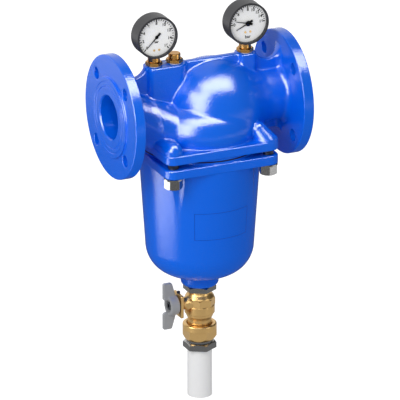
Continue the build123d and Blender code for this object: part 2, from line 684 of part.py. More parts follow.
def gauge_case(x):
    """Round cup, open to the front, with a hole for the shank below."""
    cup = rod_y(GAUGE_RADIUS, GAUGE_FRONT, GAUGE_BACK, x, GAUGE_HEIGHT)
    rims = cup.edges().filter_by(GeomType.CIRCLE)
    cup = fillet(rims, 1.2)
    cup -= rod_y(CASE_BORE, GAUGE_FRONT, GAUGE_BACK - GAUGE_WALL, x, GAUGE_HEIGHT)
    return whole(cup - rod(SHANK_RADIUS, GAUGE_HEIGHT - GAUGE_RADIUS - 1.0, GAUGE_HEIGHT - CASE_BORE / 2, x))


def gauge_dial(x):
    """Thin printed plate."""
    plate = rod_y(CASE_BORE, DIAL_FACE, DIAL_FACE + DIAL_THICK, x, GAUGE_HEIGHT)
    plate -= rod_y(2.0, DIAL_FACE, DIAL_FACE + DIAL_THICK, x, GAUGE_HEIGHT)
    return whole(plate)


def gauge_lens(x):
    """Clear window held in the rim."""
    return rod_y(CASE_BORE, LENS_FACE, LENS_FACE + LENS_THICK, x, GAUGE_HEIGHT)


def gauge_socket(x):
    """Brass shank and block that carry the tube and the movement."""
    foot_low = GAUGE_HEIGHT - CASE_BORE + 1.0
    foot_high = GAUGE_HEIGHT - TUBE_CURL + 5.0
    shank = rod(SHANK_RADIUS, HEX_BOTTOM, foot_low, x)
    foot = Pos(x, 0, foot_low) * Box(FOOT_WIDTH, FOOT_DEPTH, foot_high - foot_low, align=FROM_BASE)
    return whole(shank + foot - rod(1.5, HEX_BOTTOM, foot_high - 3.0, x))


def bourdon_tube(x):
    """Curled tube, fixed in the socket and free at its other end."""
    curl = Torus(TUBE_CURL, TUBE_RADIUS, major_angle=TUBE_SWEEP)
    curl = Pos(x, TUBE_DEPTH, GAUGE_HEIGHT) * Rot(-90, 0, 0) * Rot(0, 0, TUBE_START) * curl
    return whole(curl - gauge_socket(x))


def gauge_movement(x):
    """Two plates and their pillars, which carry the pointer's arbor."""
    low = DIAL_FACE + 2 * DIAL_THICK
    high = low + MOVEMENT_GAP + MOVEMENT_PLATE
    outline = RectangleRounded(MOVEMENT_WIDTH, MOVEMENT_HEIGHT, 2 * PILLAR_RADIUS)
    plates = []
    for depth in (low, low + MOVEMENT_GAP):
        plate = Pos(x, depth, GAUGE_HEIGHT) * Rot(-90, 0, 0) * extrude(outline, MOVEMENT_PLATE)
        plates.append(plate)
    frame = plates[0] + plates[1]
    for side in (-1, 1):
        pillar_x = x + side * MOVEMENT_WIDTH / 3
        frame += rod_y(PILLAR_RADIUS, low, high, pillar_x, GAUGE_HEIGHT + MOVEMENT_HEIGHT / 3)
    return whole(frame - rod_y(ARBOR_RADIUS + RUNNING, low, high, x, GAUGE_HEIGHT))


def rivet_pair(x, drop):
    """Two rivets through the dial below its middle."""
    rivets = []
    for side in (-1, 1):
        rivet_x = x + side * RIVET_SPACING / 2
        head = rod_y(RIVET_RADIUS, DIAL_FACE - RIVET_HEIGHT, DIAL_FACE, rivet_x, GAUGE_HEIGHT - drop)
        rivets.append(head)
    return rivets


def pointer(x, angle, depth, hub_radius, width):
    """Pointer on its arbor; the angle is seen from the front, up from the outlet side."""
    plane = Plane(origin=(x, depth, GAUGE_HEIGHT), x_dir=(1, 0, 0), z_dir=(0, -1, 0))
    tail = width * POINTER_TAIL_FLARE
    blade = Polyline((-POINTER_TAIL, tail), (0, width), (POINTER_LENGTH, POINTER_TIP),
                     (POINTER_LENGTH, -POINTER_TIP), (0, -width), (-POINTER_TAIL, -tail), close=True)
    flat = Rot(0, 0, angle) * make_face(blade) + Circle(hub_radius)
    return extrude(plane * flat, POINTER_THICK)


def main_pointer(x, angle):
    """Pointer that the movement turns."""
    depth = DIAL_FACE - POINTER_LIFT
    arbor_end = DIAL_FACE + DIAL_THICK + 8.5
    hand = pointer(x, angle, depth, 2.6, 1.5)
    return whole(hand + rod_y(ARBOR_RADIUS, depth, arbor_end, x, GAUGE_HEIGHT))


def set_pointer(x, angle):
    """Second pointer, in front of the first and close behind the window."""
    return whole(pointer(x, angle, DIAL_FACE - SET_POINTER_LIFT, 4.4, 0.7))


# Drain line

def drain_nipple():
    """Steel hexagon nipple between the bowl and the valve."""
    form = hexagon(NIPPLE_ACROSS, VALVE_TOP, NECK_BOSS_BOTTOM, 30.0)
    form += rod(NIPPLE_THREAD, NECK_BOSS_BOTTOM, BOWL_INNER_FLOOR - BODY_WALL)
    form += rod(NIPPLE_THREAD - 2.0, BALL_Z + SEAT_HALF, VALVE_TOP)
    return whole(form - rod(DRAIN_BORE, BALL_Z + SEAT_HALF, BOWL_INNER_FLOOR - BODY_WALL))


def valve_body():
    """Brass body round the ball, with the boss for the stem."""
    points = [(0, VALVE_TOP), (VALVE_TOP_RADIUS, VALVE_TOP), (VALVE_TOP_RADIUS, BALL_Z + 14.0),
              (VALVE_WAIST_RADIUS, BALL_Z + 8.0), (VALVE_WAIST_RADIUS, BALL_Z - 4.5),
              (VALVE_BAND_RADIUS, BALL_Z - 5.5), (VALVE_BAND_RADIUS, VALVE_BOTTOM + 1.0),
              (VALVE_BAND_RADIUS - 1.0, VALVE_BOTTOM), (0, VALVE_BOTTOM)]
    form = turned(points)
    form += rod_x(STEM_BOSS_RADIUS, -STEM_BOSS_END, 0, 0, BALL_Z)
    form -= rod(BALL_RADIUS + RUNNING, VALVE_BOTTOM, BALL_Z + SEAT_HALF)
    form -= rod(NIPPLE_THREAD - 2.0, BALL_Z + SEAT_HALF, VALVE_TOP)
    return whole(form - rod_x(STEM_RADIUS + RUNNING, -STEM_BOSS_END, 0, 0, BALL_Z))


def valve_seat(side):
    """Plastic ring that bears on the ball; side is 1 above it and -1 below it."""
    edge = BALL_Z + side * SEAT_HALF
    near = BALL_Z + side * (BALL_RADIUS - 6.0)
    seat = ring(BALL_RADIUS - RUNNING, DRAIN_BORE, min(edge, near), max(edge, near))
    return whole(seat - Pos(0, 0, BALL_Z) * Sphere(BALL_RADIUS + RUNNING))


def valve_tail():
    """Screwed end of the valve, with the collar that the union nut pulls on."""
    neck = TAIL_RADIUS + 2.5
    points = [(DRAIN_BORE, TAIL_BOTTOM), (TAIL_COLLAR, TAIL_BOTTOM), (TAIL_COLLAR, TAIL_BOTTOM + COLLAR_THICK),
              (TAIL_RADIUS, TAIL_BOTTOM + COLLAR_THICK), (TAIL_RADIUS, VALVE_BOTTOM - 8.0),
              (neck, VALVE_BOTTOM - 3.0), (neck, VALVE_BOTTOM), (BALL_RADIUS, VALVE_BOTTOM),
              (BALL_RADIUS, BALL_Z - SEAT_HALF), (DRAIN_BORE, BALL_Z - SEAT_HALF)]
    return turned(points)


def union_nut():
    """Brass nut, round above and hexagonal below, with its lower corners turned off."""
    form = rod(UNION_ROUND, UNION_BOTTOM + UNION_HEX, UNION_TOP)
    form = fillet(form.edges().filter_by(GeomType.CIRCLE).sort_by(Axis.Z)[-1], 2.5)
    corner = UNION_ACROSS / sqrt(3)
    hexed = hexagon(UNION_ACROSS, UNION_BOTTOM, UNION_BOTTOM + UNION_HEX, 30.0)
    hexed &= turned([(0, UNION_BOTTOM), (corner - 4.0, UNION_BOTTOM), (corner, UNION_BOTTOM + 5.0),
                     (corner, UNION_BOTTOM + UNION_HEX), (0, UNION_BOTTOM + UNION_HEX)])
    form += hexed
    form -= rod(TAIL_RADIUS + LOOSE, UNION_TOP - UNION_SHOULDER, UNION_TOP)
    form -= rod(ADAPTER_THREAD, UNION_BOTTOM, UNION_TOP - UNION_SHOULDER)
    mouth = Cone(TAIL_RADIUS + LOOSE, TAIL_RADIUS + 2.0, 2.0, align=FROM_BASE)
    return whole(form - Pos(0, 0, UNION_TOP - 2.0) * mouth)


def outlet_adapter():
    """Steel adapter from the union to the plastic pipe."""
    form = hexagon(ADAPTER_ACROSS, OUTLET_HEX_BOTTOM, OUTLET_HEX_TOP, 30.0)
    form += rod(ADAPTER_THREAD, OUTLET_HEX_TOP, OUTLET_ADAPTER_TOP)
    form -= rod(DRAIN_BORE, OUTLET_HEX_TOP, OUTLET_ADAPTER_TOP)
    return whole(form - rod(PIPE_THREAD, OUTLET_HEX_BOTTOM, OUTLET_HEX_TOP))


def drain_pipe():
    """Plastic pipe, open at its lower end, with a thinner screwed end inside the adapter."""
    inner = PIPE_OUTER / 2 - PIPE_WALL
    pipe = ring(PIPE_OUTER / 2, inner, PIPE_BOTTOM, OUTLET_HEX_BOTTOM)
    return whole(pipe + ring(PIPE_THREAD, inner, OUTLET_HEX_BOTTOM, OUTLET_HEX_TOP))


# Valve handle and what turns with it

def stem_gland():
    """Packing nut round the stem."""
    outline = RegularPolygon(GLAND_ACROSS / 2, 6, major_radius=False)
    plane = Plane(origin=(-STEM_BOSS_END, 0, BALL_Z), x_dir=(0, 1, 0), z_dir=(-1, 0, 0))
    nut = extrude(plane * outline, STOP_PLATE_FACE - STOP_PLATE_THICK - STEM_BOSS_END)
    return whole(nut - rod_x(STEM_RADIUS + RUNNING, -STOP_PLATE_FACE, -STEM_BOSS_END, 0, BALL_Z))


def stop_plate():
    """Square plate that stops the handle."""
    plate = block(-STOP_PLATE_FACE, -STOP_PLATE_FACE + STOP_PLATE_THICK, STOP_PLATE_HALF_WIDTH,
                  BALL_Z - STOP_PLATE_HALF_HEIGHT, BALL_Z + STOP_PLATE_HALF_HEIGHT)
    plate = fillet(plate.edges().filter_by(Axis.X), 2.0)
    return whole(plate - rod_x(STEM_RADIUS + RUNNING, -STOP_PLATE_FACE, 0, 0, BALL_Z))


def stop_screw():
    """Small dark screw on the plate's upper edge."""
    low = BALL_Z + STOP_PLATE_HALF_HEIGHT
    head = rod(2.6, low, low + 3.5, -STOP_PLATE_FACE + STOP_PLATE_THICK / 2)
    return fillet(head.edges().filter_by(GeomType.CIRCLE).sort_by(Axis.Z)[-1], 1.2)


def wing(side):
    """One wing of the handle; side is 1 for the upper and -1 for the lower."""
    corners = [(-HUB_START - 2.0, 0), (-HUB_START - 2.0, WING_INNER + 3.0), (-WING_BACK, WING_REACH),
               (-WING_FRONT, WING_REACH), (-WING_FRONT, WING_INNER), (-HUB_END + 1.0, WING_INNER - 2.0),
               (-HUB_END + 1.0, 0)]
    outline = make_face(Polyline(*corners, close=True))
    solid = Pos(0, 0, BALL_Z) * extrude(Plane.XZ * outline, WING_THICK / 2, both=True)
    tips = [edge for edge in solid.edges().filter_by(Axis.Y) if edge.center().Z > BALL_Z + WING_REACH - 1]
    foot = [edge for edge in solid.edges().filter_by(Axis.Y)
            if abs(edge.center().X + WING_FRONT) < 0.1 and edge.center().Z < BALL_Z + WING_REACH - 1]
    solid = fillet(tips + foot, WING_ROUND)
    return solid if side > 0 else Pos(0, 0, BALL_Z) * Rot(180, 0, 0) * Pos(0, 0, -BALL_Z) * solid


def valve_handle():
    """Two wings on a round hub with a recess for the screw."""
    hub = rod_x(HUB_RADIUS, -HUB_END, -HUB_START, 0, BALL_Z)
    hub = fillet(hub.edges().filter_by(GeomType.CIRCLE), 1.5)
    form = hub + wing(1) + wing(-1)
    form -= rod_x(HUB_RECESS_RADIUS, -HUB_END, -HUB_END + HUB_RECESS, 0, BALL_Z)
    return whole(form - rod_x(STEM_RADIUS, -HUB_END, -HUB_START, 0, BALL_Z))


def valve_stem():
    """Stem from the ball to the handle, drilled for the screw."""
    stem = rod_x(STEM_RADIUS, -HUB_END + HUB_RECESS, -BALL_RADIUS + 3.0, 0, BALL_Z)
    return whole(stem - rod_x(SCREW_SHANK_RADIUS, -HUB_END + HUB_RECESS, -HUB_START, 0, BALL_Z))


def valve_ball():
    """Ball with its bore along the drain and a seat for the stem."""
    ball = Pos(0, 0, BALL_Z) * Sphere(BALL_RADIUS)
    ball -= rod(DRAIN_BORE - 1.0, BALL_Z - BALL_RADIUS, BALL_Z + BALL_RADIUS)
    return whole(ball - rod_x(STEM_RADIUS, -BALL_RADIUS, -BALL_RADIUS + 3.0, 0, BALL_Z))


def handle_screw():
    """Screw that holds the handle on the stem."""
    floor = -HUB_END + HUB_RECESS
    front = floor - SCREW_SOCKET_RADIUS
    head = rod_x(SCREW_HEAD_RADIUS, front, floor, 0, BALL_Z)
    head -= rod_x(SCREW_SOCKET_RADIUS, front, floor - 1.0, 0, BALL_Z)
    return whole(head + rod_x(SCREW_SHANK_RADIUS, floor, -HUB_START, 0, BALL_Z))


os.makedirs("parts", exist_ok=True)

save("housing_body", housing_body())
save("filter_bowl", filter_bowl())
save("bowl_gasket", ring(REGISTER_RADIUS, BOWL_TOP_RADIUS - BOWL_WALL + 1.0,
                         BOWL_PLATE_TOP + REGISTER_HEIGHT, BODY_PLATE_BOTTOM - REGISTER_HEIGHT))
save("bowl_bolts", *[bowl_bolt(x, y) for x, y in CORNERS])
save("bowl_washers", *[bowl_washer(x, y) for x, y in CORNERS])

save("insert_seat_ring", seat_ring())
save("insert_head", insert_head())
save("insert_rings", *[head_ring(low) for low in head_ring_heights()])
save("filter_cage", filter_cage())
save("upper_mesh", ring(MESH_OUTER, MESH_OUTER - MESH_WALL, MAIN_MESH_TOP, CAGE_TOP))
save("main_mesh", ring(MESH_OUTER, MESH_OUTER - MESH_WALL, BASE_TOP, MAIN_MESH_TOP))
save("insert_base", insert_base())
save("rotor_axle", rotor_axle())
save("impeller", impeller())
save("jet_arms", jet_arms())
save("return_spring", return_spring())
save("spring_guide", spring_guide())

save("inlet_gauge_adapter", adapter(FITTING_INLET_X))
save("outlet_gauge_adapter", adapter(FITTING_OUTLET_X))
save("vent_plug", vent_plug())
save("fitting_seals", *[fitting_seal(x) for x in (FITTING_INLET_X, FITTING_PLUG_X, FITTING_OUTLET_X)])

for side_name, gauge_x, rivet_drop in (("inlet", FITTING_INLET_X, 20.0), ("outlet", FITTING_OUTLET_X, 13.5)):
    save(f"{side_name}_gauge_case", gauge_case(gauge_x))
    save(f"{side_name}_gauge_dial", gauge_dial(gauge_x))
    save(f"{side_name}_gauge_lens", gauge_lens(gauge_x))
    save(f"{side_name}_gauge_socket", gauge_socket(gauge_x))
    save(f"{side_name}_bourdon_tube", bourdon_tube(gauge_x))
    save(f"{side_name}_gauge_movement", gauge_movement(gauge_x))
    save(f"{side_name}_dial_rivets", *rivet_pair(gauge_x, rivet_drop))
save("inlet_pointer", main_pointer(FITTING_INLET_X, INLET_POINTER_ANGLE))
save("outlet_pointer", main_pointer(FITTING_OUTLET_X, OUTLET_POINTER_ANGLE))
save("outlet_set_pointer", set_pointer(FITTING_OUTLET_X, SET_POINTER_ANGLE))

save("drain_nipple", drain_nipple())
save("valve_body", valve_body())
save("valve_seats", valve_seat(1), valve_seat(-1))
save("valve_tail", valve_tail())
save("union_nut", union_nut())
save("union_gasket", ring(TAIL_RADIUS, DRAIN_BORE, OUTLET_ADAPTER_TOP, TAIL_BOTTOM))
save("outlet_adapter", outlet_adapter())
save("drain_pipe", drain_pipe())
save("stem_gland", stem_gland())
save("stop_plate", stop_plate())
save("stop_screw", stop_screw())
save("valve_handle", valve_handle())
save("valve_stem", valve_stem())
save("valve_ball", valve_ball())
save("handle_screw", handle_screw())
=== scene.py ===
import math

import bmesh
import bpy
import numpy as np
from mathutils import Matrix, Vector


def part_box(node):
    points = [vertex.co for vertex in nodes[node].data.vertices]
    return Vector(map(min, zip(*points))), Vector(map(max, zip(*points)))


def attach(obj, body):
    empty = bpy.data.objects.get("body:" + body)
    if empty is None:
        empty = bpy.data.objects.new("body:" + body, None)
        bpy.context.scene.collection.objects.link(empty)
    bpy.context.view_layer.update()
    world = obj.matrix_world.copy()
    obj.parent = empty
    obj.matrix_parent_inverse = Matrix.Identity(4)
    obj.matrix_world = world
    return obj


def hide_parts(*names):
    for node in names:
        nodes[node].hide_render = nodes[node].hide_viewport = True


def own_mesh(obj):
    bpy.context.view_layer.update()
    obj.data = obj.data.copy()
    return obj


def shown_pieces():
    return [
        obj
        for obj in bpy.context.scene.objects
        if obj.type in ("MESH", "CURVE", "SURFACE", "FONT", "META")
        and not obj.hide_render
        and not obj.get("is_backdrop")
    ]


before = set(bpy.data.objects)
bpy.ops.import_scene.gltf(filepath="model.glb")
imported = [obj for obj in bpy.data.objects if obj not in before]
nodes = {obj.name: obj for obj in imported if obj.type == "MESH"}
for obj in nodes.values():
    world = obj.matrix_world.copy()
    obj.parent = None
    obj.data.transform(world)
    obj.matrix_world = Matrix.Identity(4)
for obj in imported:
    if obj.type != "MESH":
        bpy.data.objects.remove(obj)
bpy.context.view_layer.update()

# Cast body
# One iron casting that joins the two pipe flanges, the round inlet chamber and the dome of the outlet side.
# It comes out of a sand mould, so every corner is filleted, and it is dipped in thick glossy blue enamel.
MM = 0.001
bowl_low, bowl_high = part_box("filter_bowl")
body_low, body_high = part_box("housing_body")
AXIS_X = (bowl_low.x + bowl_high.x) / 2
RUN_END = (body_high.x - body_low.x) / 2 / MM
FLANGE_RADIUS = (body_high.y - body_low.y) / 2 / MM
FLANGE_BACK = RUN_END - 19.0
PORT_RADIUS, NECK_RADIUS, WALL = 32.5, 40.0, 7.0
DOME_X, DOME_Z, DOME_RADIUS, DOME_HIGH = 20.0, -5.0, 76.5, 72.0
DOME_FLOOR, SEAT_RADIUS = -14.0, 40.0
CHAMBER_RING, CHAMBER_Z, CHAMBER_TUBE, CHAMBER_LOW = 51.0, -27.0, 36.8, -48.0
HORN_END_X, HORN_END_Z = -40.0, -24.0
HORN_HALF_WIDTH, HORN_HALF_HEIGHT = 52.0, 36.0
INLET_BORE_END, OUTLET_BORE_START = -100.0, 50.0
PLATE_TOP, PLATE_LOW = -41.5, -55.5
PLATE_HALF, PLATE_CORNER, MOUTH_RADIUS = 90.0, 14.3, 79.0
PLATE_LIP, LIP_ROUND, UNDER_RIM = 2.5, 1.5, 0.04
BOLT_PLACE = PLATE_HALF - PLATE_CORNER
BOLT_RADIUS, TAPPING_TOP = 8.0, -40.0
WEB_TOP, WEB_HALF, RIB_LOW = 70.0, 6.0, -52.0
DIP_X, DIP_Z, DIP_RADIUS = 107.6, 76.0, 21.0
TOWER_LEFT, TOWER_NOSE_X, TOWER_HALF, TOWER_CORNER = -85.5, -40.3, 17.0, 8.0
GAUGE_X = {"inlet": -73.0, "outlet": 72.5}
BOSS_HALF_X, BOSS_HALF_Y, BOSS_CORNER = 12.5, 15.0, 6.0
HOLE_PITCH, HOLE_RADIUS = 72.5, 9.0
WEB_ROUND, TOP_ROUND = 3.0, 2.0
NECK_FILLET, CREASE_FILLET, FLANGE_FILLET, BORE_FILLET = 15.0, 3.5, 9.0, 8.0
WEB_FILLET, TOWER_FILLET, PLATE_FILLET, INTO_RIM = 4.0, 3.0, 2.5, 2.0


def round_join(a, b, radius):
    """Two forms joined with a fillet: within its reach, radius less the length of (radius - a, radius - b)."""
    near = np.hypot(np.maximum(radius - a, 0), np.maximum(radius - b, 0))
    return np.maximum(radius, np.minimum(a, b)) - near


def round_both(a, b, radius):
    """What lies inside both forms, with the edge between them rounded off by the radius."""
    far = np.hypot(np.maximum(a + radius, 0), np.maximum(b + radius, 0))
    return np.minimum(-radius, np.maximum(a, b)) + far


def horn(x, y, z, inset):
    """Oval section whose half width, half height and middle run in a line from the round neck to the wide mouth."""
    t = np.clip((x + FLANGE_BACK) / (HORN_END_X + FLANGE_BACK), 0, 1) ** 1.1
    wide = NECK_RADIUS + t * (HORN_HALF_WIDTH - NECK_RADIUS) - inset
    high = NECK_RADIUS + t * (HORN_HALF_HEIGHT - NECK_RADIUS) - inset
    oval = (np.hypot(y / wide, (z - t * HORN_END_Z) / high) - 1) * np.minimum(wide, high)
    return np.maximum(oval, x - HORN_END_X)


def horn_fillet(x):
    """Fillet between the horn and the inlet chamber: wide out towards the pipe, almost none over the chamber."""
    return 2.0 + 26.0 * np.clip((-50.0 - x) / 30.0, 0, 1)


def chamber(x, y, z, inset):
    """Ring of round section about the bowl axis, filled in the middle: flat on top inside the ring's own radius."""
    out = np.hypot(x, y) - CHAMBER_RING
    return np.hypot(np.maximum(out, 0), z - CHAMBER_Z) - CHAMBER_TUBE + inset


def rounded_corner(a, b, corner):
    """Distance from two sides that meet in an arc, when a and b are the ways past the arc's middle."""
    return np.hypot(np.maximum(a, 0), np.maximum(b, 0)) + np.minimum(np.maximum(a, b), 0) - corner


def rounded_square(x, y, half, corner):
    """Distance from a square with rounded corners, seen from above."""
    return rounded_corner(np.abs(x) - half + corner, np.abs(y) - half + corner, corner)


def from_dome(x, y, z):
    """Distance from the middle of the dome, with the heights above it stretched: it is lower than a ball."""
    rise = np.maximum(z - DOME_Z, 0) * DOME_RADIUS / DOME_HIGH + np.minimum(z - DOME_Z, 0)
    return np.sqrt((x - DOME_X) ** 2 + y**2 + rise**2)


def outlet_neck(x, y, z):
    """The round pipe from the dome to the outlet flange."""
    return np.maximum(np.hypot(y, z) - NECK_RADIUS, DOME_X - x)


def round_bar(x, y, z, start, end, first, last):
    """Distance from a bar with ball ends, whose radius runs evenly from first to last."""
    place = np.stack([x, y, z], axis=-1) - start
    way = np.subtract(end, start)
    t = np.clip(place @ way / (way @ way), 0, 1)
    return np.linalg.norm(place - t[..., None] * way, axis=-1) - first - t * (last - first)


def bolt_bosses(x, y, z):
    """The four bosses over the bolts: ridges up the belly at the outlet, low hoods beside the horn at the inlet."""
    near, far = BOLT_PLACE - 1.0, 64.4
    ridge = round_bar(np.abs(x), np.abs(y), z, (near, near, -47.0), (far, far, -28.0), 17.0, 12.0)
    near, far = (-BOLT_PLACE, BOLT_PLACE, -38.0), (-BOLT_PLACE - 1.5, 38.0, -43.5)
    hood = round_bar(x, np.abs(y), z, near, far, 14.0, 17.0)
    return np.maximum(np.where(x > 0, ridge, hood), rounded_square(x, y, PLATE_HALF - 0.5, PLATE_CORNER - 0.5))


def outside_form(x, y, z):
    """Outer shape of the casting, as the distance from it in millimetres, below zero inside."""
    form = round_join(from_dome(x, y, z) - DOME_RADIUS, outlet_neck(x, y, z), NECK_FILLET)
    low = round_join(chamber(x, y, z, 0.0), horn(x, y, z, 0.0), horn_fillet(x))
    form = np.maximum(round_join(form, low, CREASE_FILLET), CHAMBER_LOW - z)
    dip = DIP_RADIUS - np.hypot(np.abs(x) - DIP_X, z - DIP_Z)
    web = round_both(np.abs(y) - WEB_HALF, np.maximum(z - WEB_TOP, dip), WEB_ROUND)
    form = round_join(form, np.maximum(web, -z), WEB_FILLET)
    rib = np.maximum(np.abs(y) - WEB_HALF, np.maximum(z, RIB_LOW - z))
    form = round_join(form, rib, WEB_FILLET)
    side = rounded_corner(TOWER_LEFT + TOWER_CORNER - x, np.abs(y) - TOWER_HALF + TOWER_CORNER, TOWER_CORNER)
    side = np.maximum(side, x - TOWER_NOSE_X)
    nose = np.hypot(x - TOWER_NOSE_X, y) - TOWER_HALF
    tower = round_both(np.minimum(side, nose), z - WEB_TOP, TOP_ROUND)
    form = round_join(form, np.maximum(tower, -z), TOWER_FILLET)
    boss = rounded_corner(np.abs(x - GAUGE_X["outlet"]) - BOSS_HALF_X + BOSS_CORNER,
                          np.abs(y) - BOSS_HALF_Y + BOSS_CORNER, BOSS_CORNER)
    form = round_join(form, np.maximum(round_both(boss, z - WEB_TOP, TOP_ROUND), -z), WEB_FILLET)
    flat = rounded_square(x, y, PLATE_HALF - PLATE_LIP, PLATE_CORNER - PLATE_LIP)
    flat = np.maximum(round_both(flat, z - PLATE_TOP - UNDER_RIM, LIP_ROUND), PLATE_LOW + INTO_RIM - z)
    form = round_join(form, flat, PLATE_FILLET)
    form = round_join(form, np.maximum(bolt_bosses(x, y, z), PLATE_LOW + INTO_RIM - z), PLATE_FILLET)
    form = np.maximum(form, np.abs(x) - FLANGE_BACK - INTO_RIM)
    disc = np.maximum(np.hypot(y, z) - FLANGE_RADIUS + 5.0, np.abs(np.abs(x) - FLANGE_BACK - 1.1) - 0.9)
    return round_join(form, disc, FLANGE_FILLET)


def casting_form(x, y, z):
    """The outer shape less its two water spaces, its tapped holes and its flange holes."""
    cup = from_dome(x, y, z)
    shell = np.maximum(cup - DOME_RADIUS, DOME_FLOOR - WALL - z)
    raw = round_join(chamber(x, y, z, WALL), horn(x, y, z, WALL), horn_fillet(x))
    mouth = np.maximum(np.hypot(x, y) - MOUTH_RADIUS, z - PLATE_TOP)
    port = np.maximum(np.hypot(y, z) - PORT_RADIUS, x - INLET_BORE_END)
    raw = np.maximum.reduce([np.minimum.reduce([raw, mouth, port]), -shell, -outlet_neck(x, y, z)])
    clean = np.maximum(cup - DOME_RADIUS + WALL, DOME_FLOOR - z)
    exit_bore = np.maximum(np.hypot(y, z) - PORT_RADIUS, OUTLET_BORE_START - x)
    seat = np.maximum(np.hypot(x, y) - SEAT_RADIUS, np.abs(z - DOME_FLOOR + WALL / 2) - WALL / 2 - 0.5)
    clean = np.minimum(round_join(clean, exit_bore, BORE_FILLET), seat)
    bolt = np.hypot(np.abs(x) - BOLT_PLACE, np.abs(y) - BOLT_PLACE) - BOLT_RADIUS
    bolt = np.maximum(bolt, z - TAPPING_TOP)
    off = HOLE_PITCH / math.sqrt(2)
    hole = np.hypot(np.abs(y) - off, np.abs(z) - off) - HOLE_RADIUS - 0.3
    hole = np.maximum(hole, FLANGE_BACK - 1.0 - np.abs(x))
    return np.maximum(outside_form(x, y, z), -np.minimum.reduce([raw, clean, bolt, hole]))


def slope_of(form, points, reach=0.05):
    """Slope of a form at points, from the change of its value over a short reach each way."""
    return np.stack([(form(*(points + step).T) - form(*(points - step).T)) / (2 * reach)
                     for step in reach * np.eye(3)], axis=1)


def skin_of(form, low, high, step):
    """The surface where a form is 0, with its slopes. Each grid cell that it crosses has a point, the mean of where
    it crosses the cell's edges, moved along the slope on to it; each grid edge that it crosses has a face."""
    axes = [np.arange(a, b + step, step) for a, b in zip(low, high)]
    value = form(*np.meshgrid(*axes, indexing="ij"))
    inside = value < 0
    count = np.lib.stride_tricks.sliding_window_view(inside, (2, 2, 2)).sum((3, 4, 5))
    cell = np.argwhere((count > 0) & (count < 8))
    number = np.full(count.shape, -1)
    number[tuple(cell.T)] = np.arange(len(cell))
    corners = np.argwhere(np.ones((2, 2, 2)))
    total = np.zeros((len(cell), 3))
    crossings = np.zeros(len(cell))
    for axis, along in enumerate(np.eye(3, dtype=int)):
        for start in corners[corners[:, axis] == 0]:
            a, b = (value[tuple((cell + corner).T)] for corner in (start, start + along))
            crossed = (a < 0) != (b < 0)
            share = np.where(crossed, a / np.where(crossed, a - b, 1), 0)
            total += np.where(crossed[:, None], cell + start + share[:, None] * along, 0)
            crossings += crossed
    points = np.array(low) + step * total / crossings[:, None]
    for _ in range(3):
        slope = slope_of(form, points)
        move = form(*points.T)[:, None] * slope / np.maximum((slope**2).sum(1), 0.2)[:, None]
        points -= np.clip(move, -step / 2, step / 2)
    faces = []
    for axis, along in enumerate(np.eye(3, dtype=int)):
        edge = np.argwhere(np.diff(inside, axis=axis))
        edge = edge[(((edge > 0) & (edge < number.shape)) | (along > 0)).all(1)]
        face = np.stack([number[tuple((edge - np.roll((0, *back), axis)).T)]
                         for back in ((1, 1), (0, 1), (0, 0), (1, 0))], axis=1)
        turned_over = ~inside[tuple(edge.T)]
        face[turned_over] = face[turned_over][:, ::-1]
        faces.append(face)
    return (points, np.concatenate(faces)), slope_of(form, points)


def in_scene(name, data):
    """A new object, put in the scene."""
    thing = bpy.data.objects.new(name, data)
    bpy.context.scene.collection.objects.link(thing)
    return thing


def solid_piece(name, node, shape, look, body="housing", normals=None, sharp=28):
    """A piece in the place of a node, from points in millimetres about the bowl axis and the pipe's height. Without
    normals of its own, points that meet are merged, and faces that turn less than the sharp angle are smooth."""
    points, faces = shape
    mesh = bpy.data.meshes.new(name)
    mesh.from_pydata(np.asarray(points) * MM + (AXIS_X, 0, 0), [], faces, shade_flat=False)
    mesh.validate()
    piece = in_scene(name, mesh)
    if normals is not None:
        length = np.maximum(np.linalg.norm(normals, axis=1), 1e-9)
        mesh.normals_split_custom_set_from_vertices((normals / length[:, None]).astype(np.float32))
    else:
        net = bmesh.new()
        net.from_mesh(mesh)
        bmesh.ops.remove_doubles(net, verts=net.verts, dist=2e-6)
        bmesh.ops.dissolve_degenerate(net, edges=net.edges, dist=1e-7)
        bmesh.ops.delete(net, geom=[edge for edge in net.edges if not edge.link_faces], context="EDGES")
        net.to_mesh(mesh)
        net.free()
        mesh.set_sharp_from_angle(angle=math.radians(sharp))
        piece.modifiers.new("even faces", "WEIGHTED_NORMAL").keep_sharp = True
    mesh.materials.append(look)
    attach(piece, body)
    if node:
        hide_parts(node)
    return piece


def colour(red, green, blue):
    """Colour from its three values out of 255 as a screen shows them."""
    share = np.array([red, green, blue]) / 255
    light = np.where(share <= 0.04045, share / 12.92, ((share + 0.055) / 1.055) ** 2.4)
    return (*light, 1.0)


def add_node(tree, kind, inputs, **settings):
    """A shader node, whose inputs each get a value or are joined to another node's output."""
    node = tree.nodes.new(kind)
    for name, value in settings.items():
        setattr(node, name, value)
    for name, value in inputs.items():
        if isinstance(value, bpy.types.NodeSocket):
            tree.links.new(value, node.inputs[name])
        else:
            node.inputs[name].default_value = value
    return node


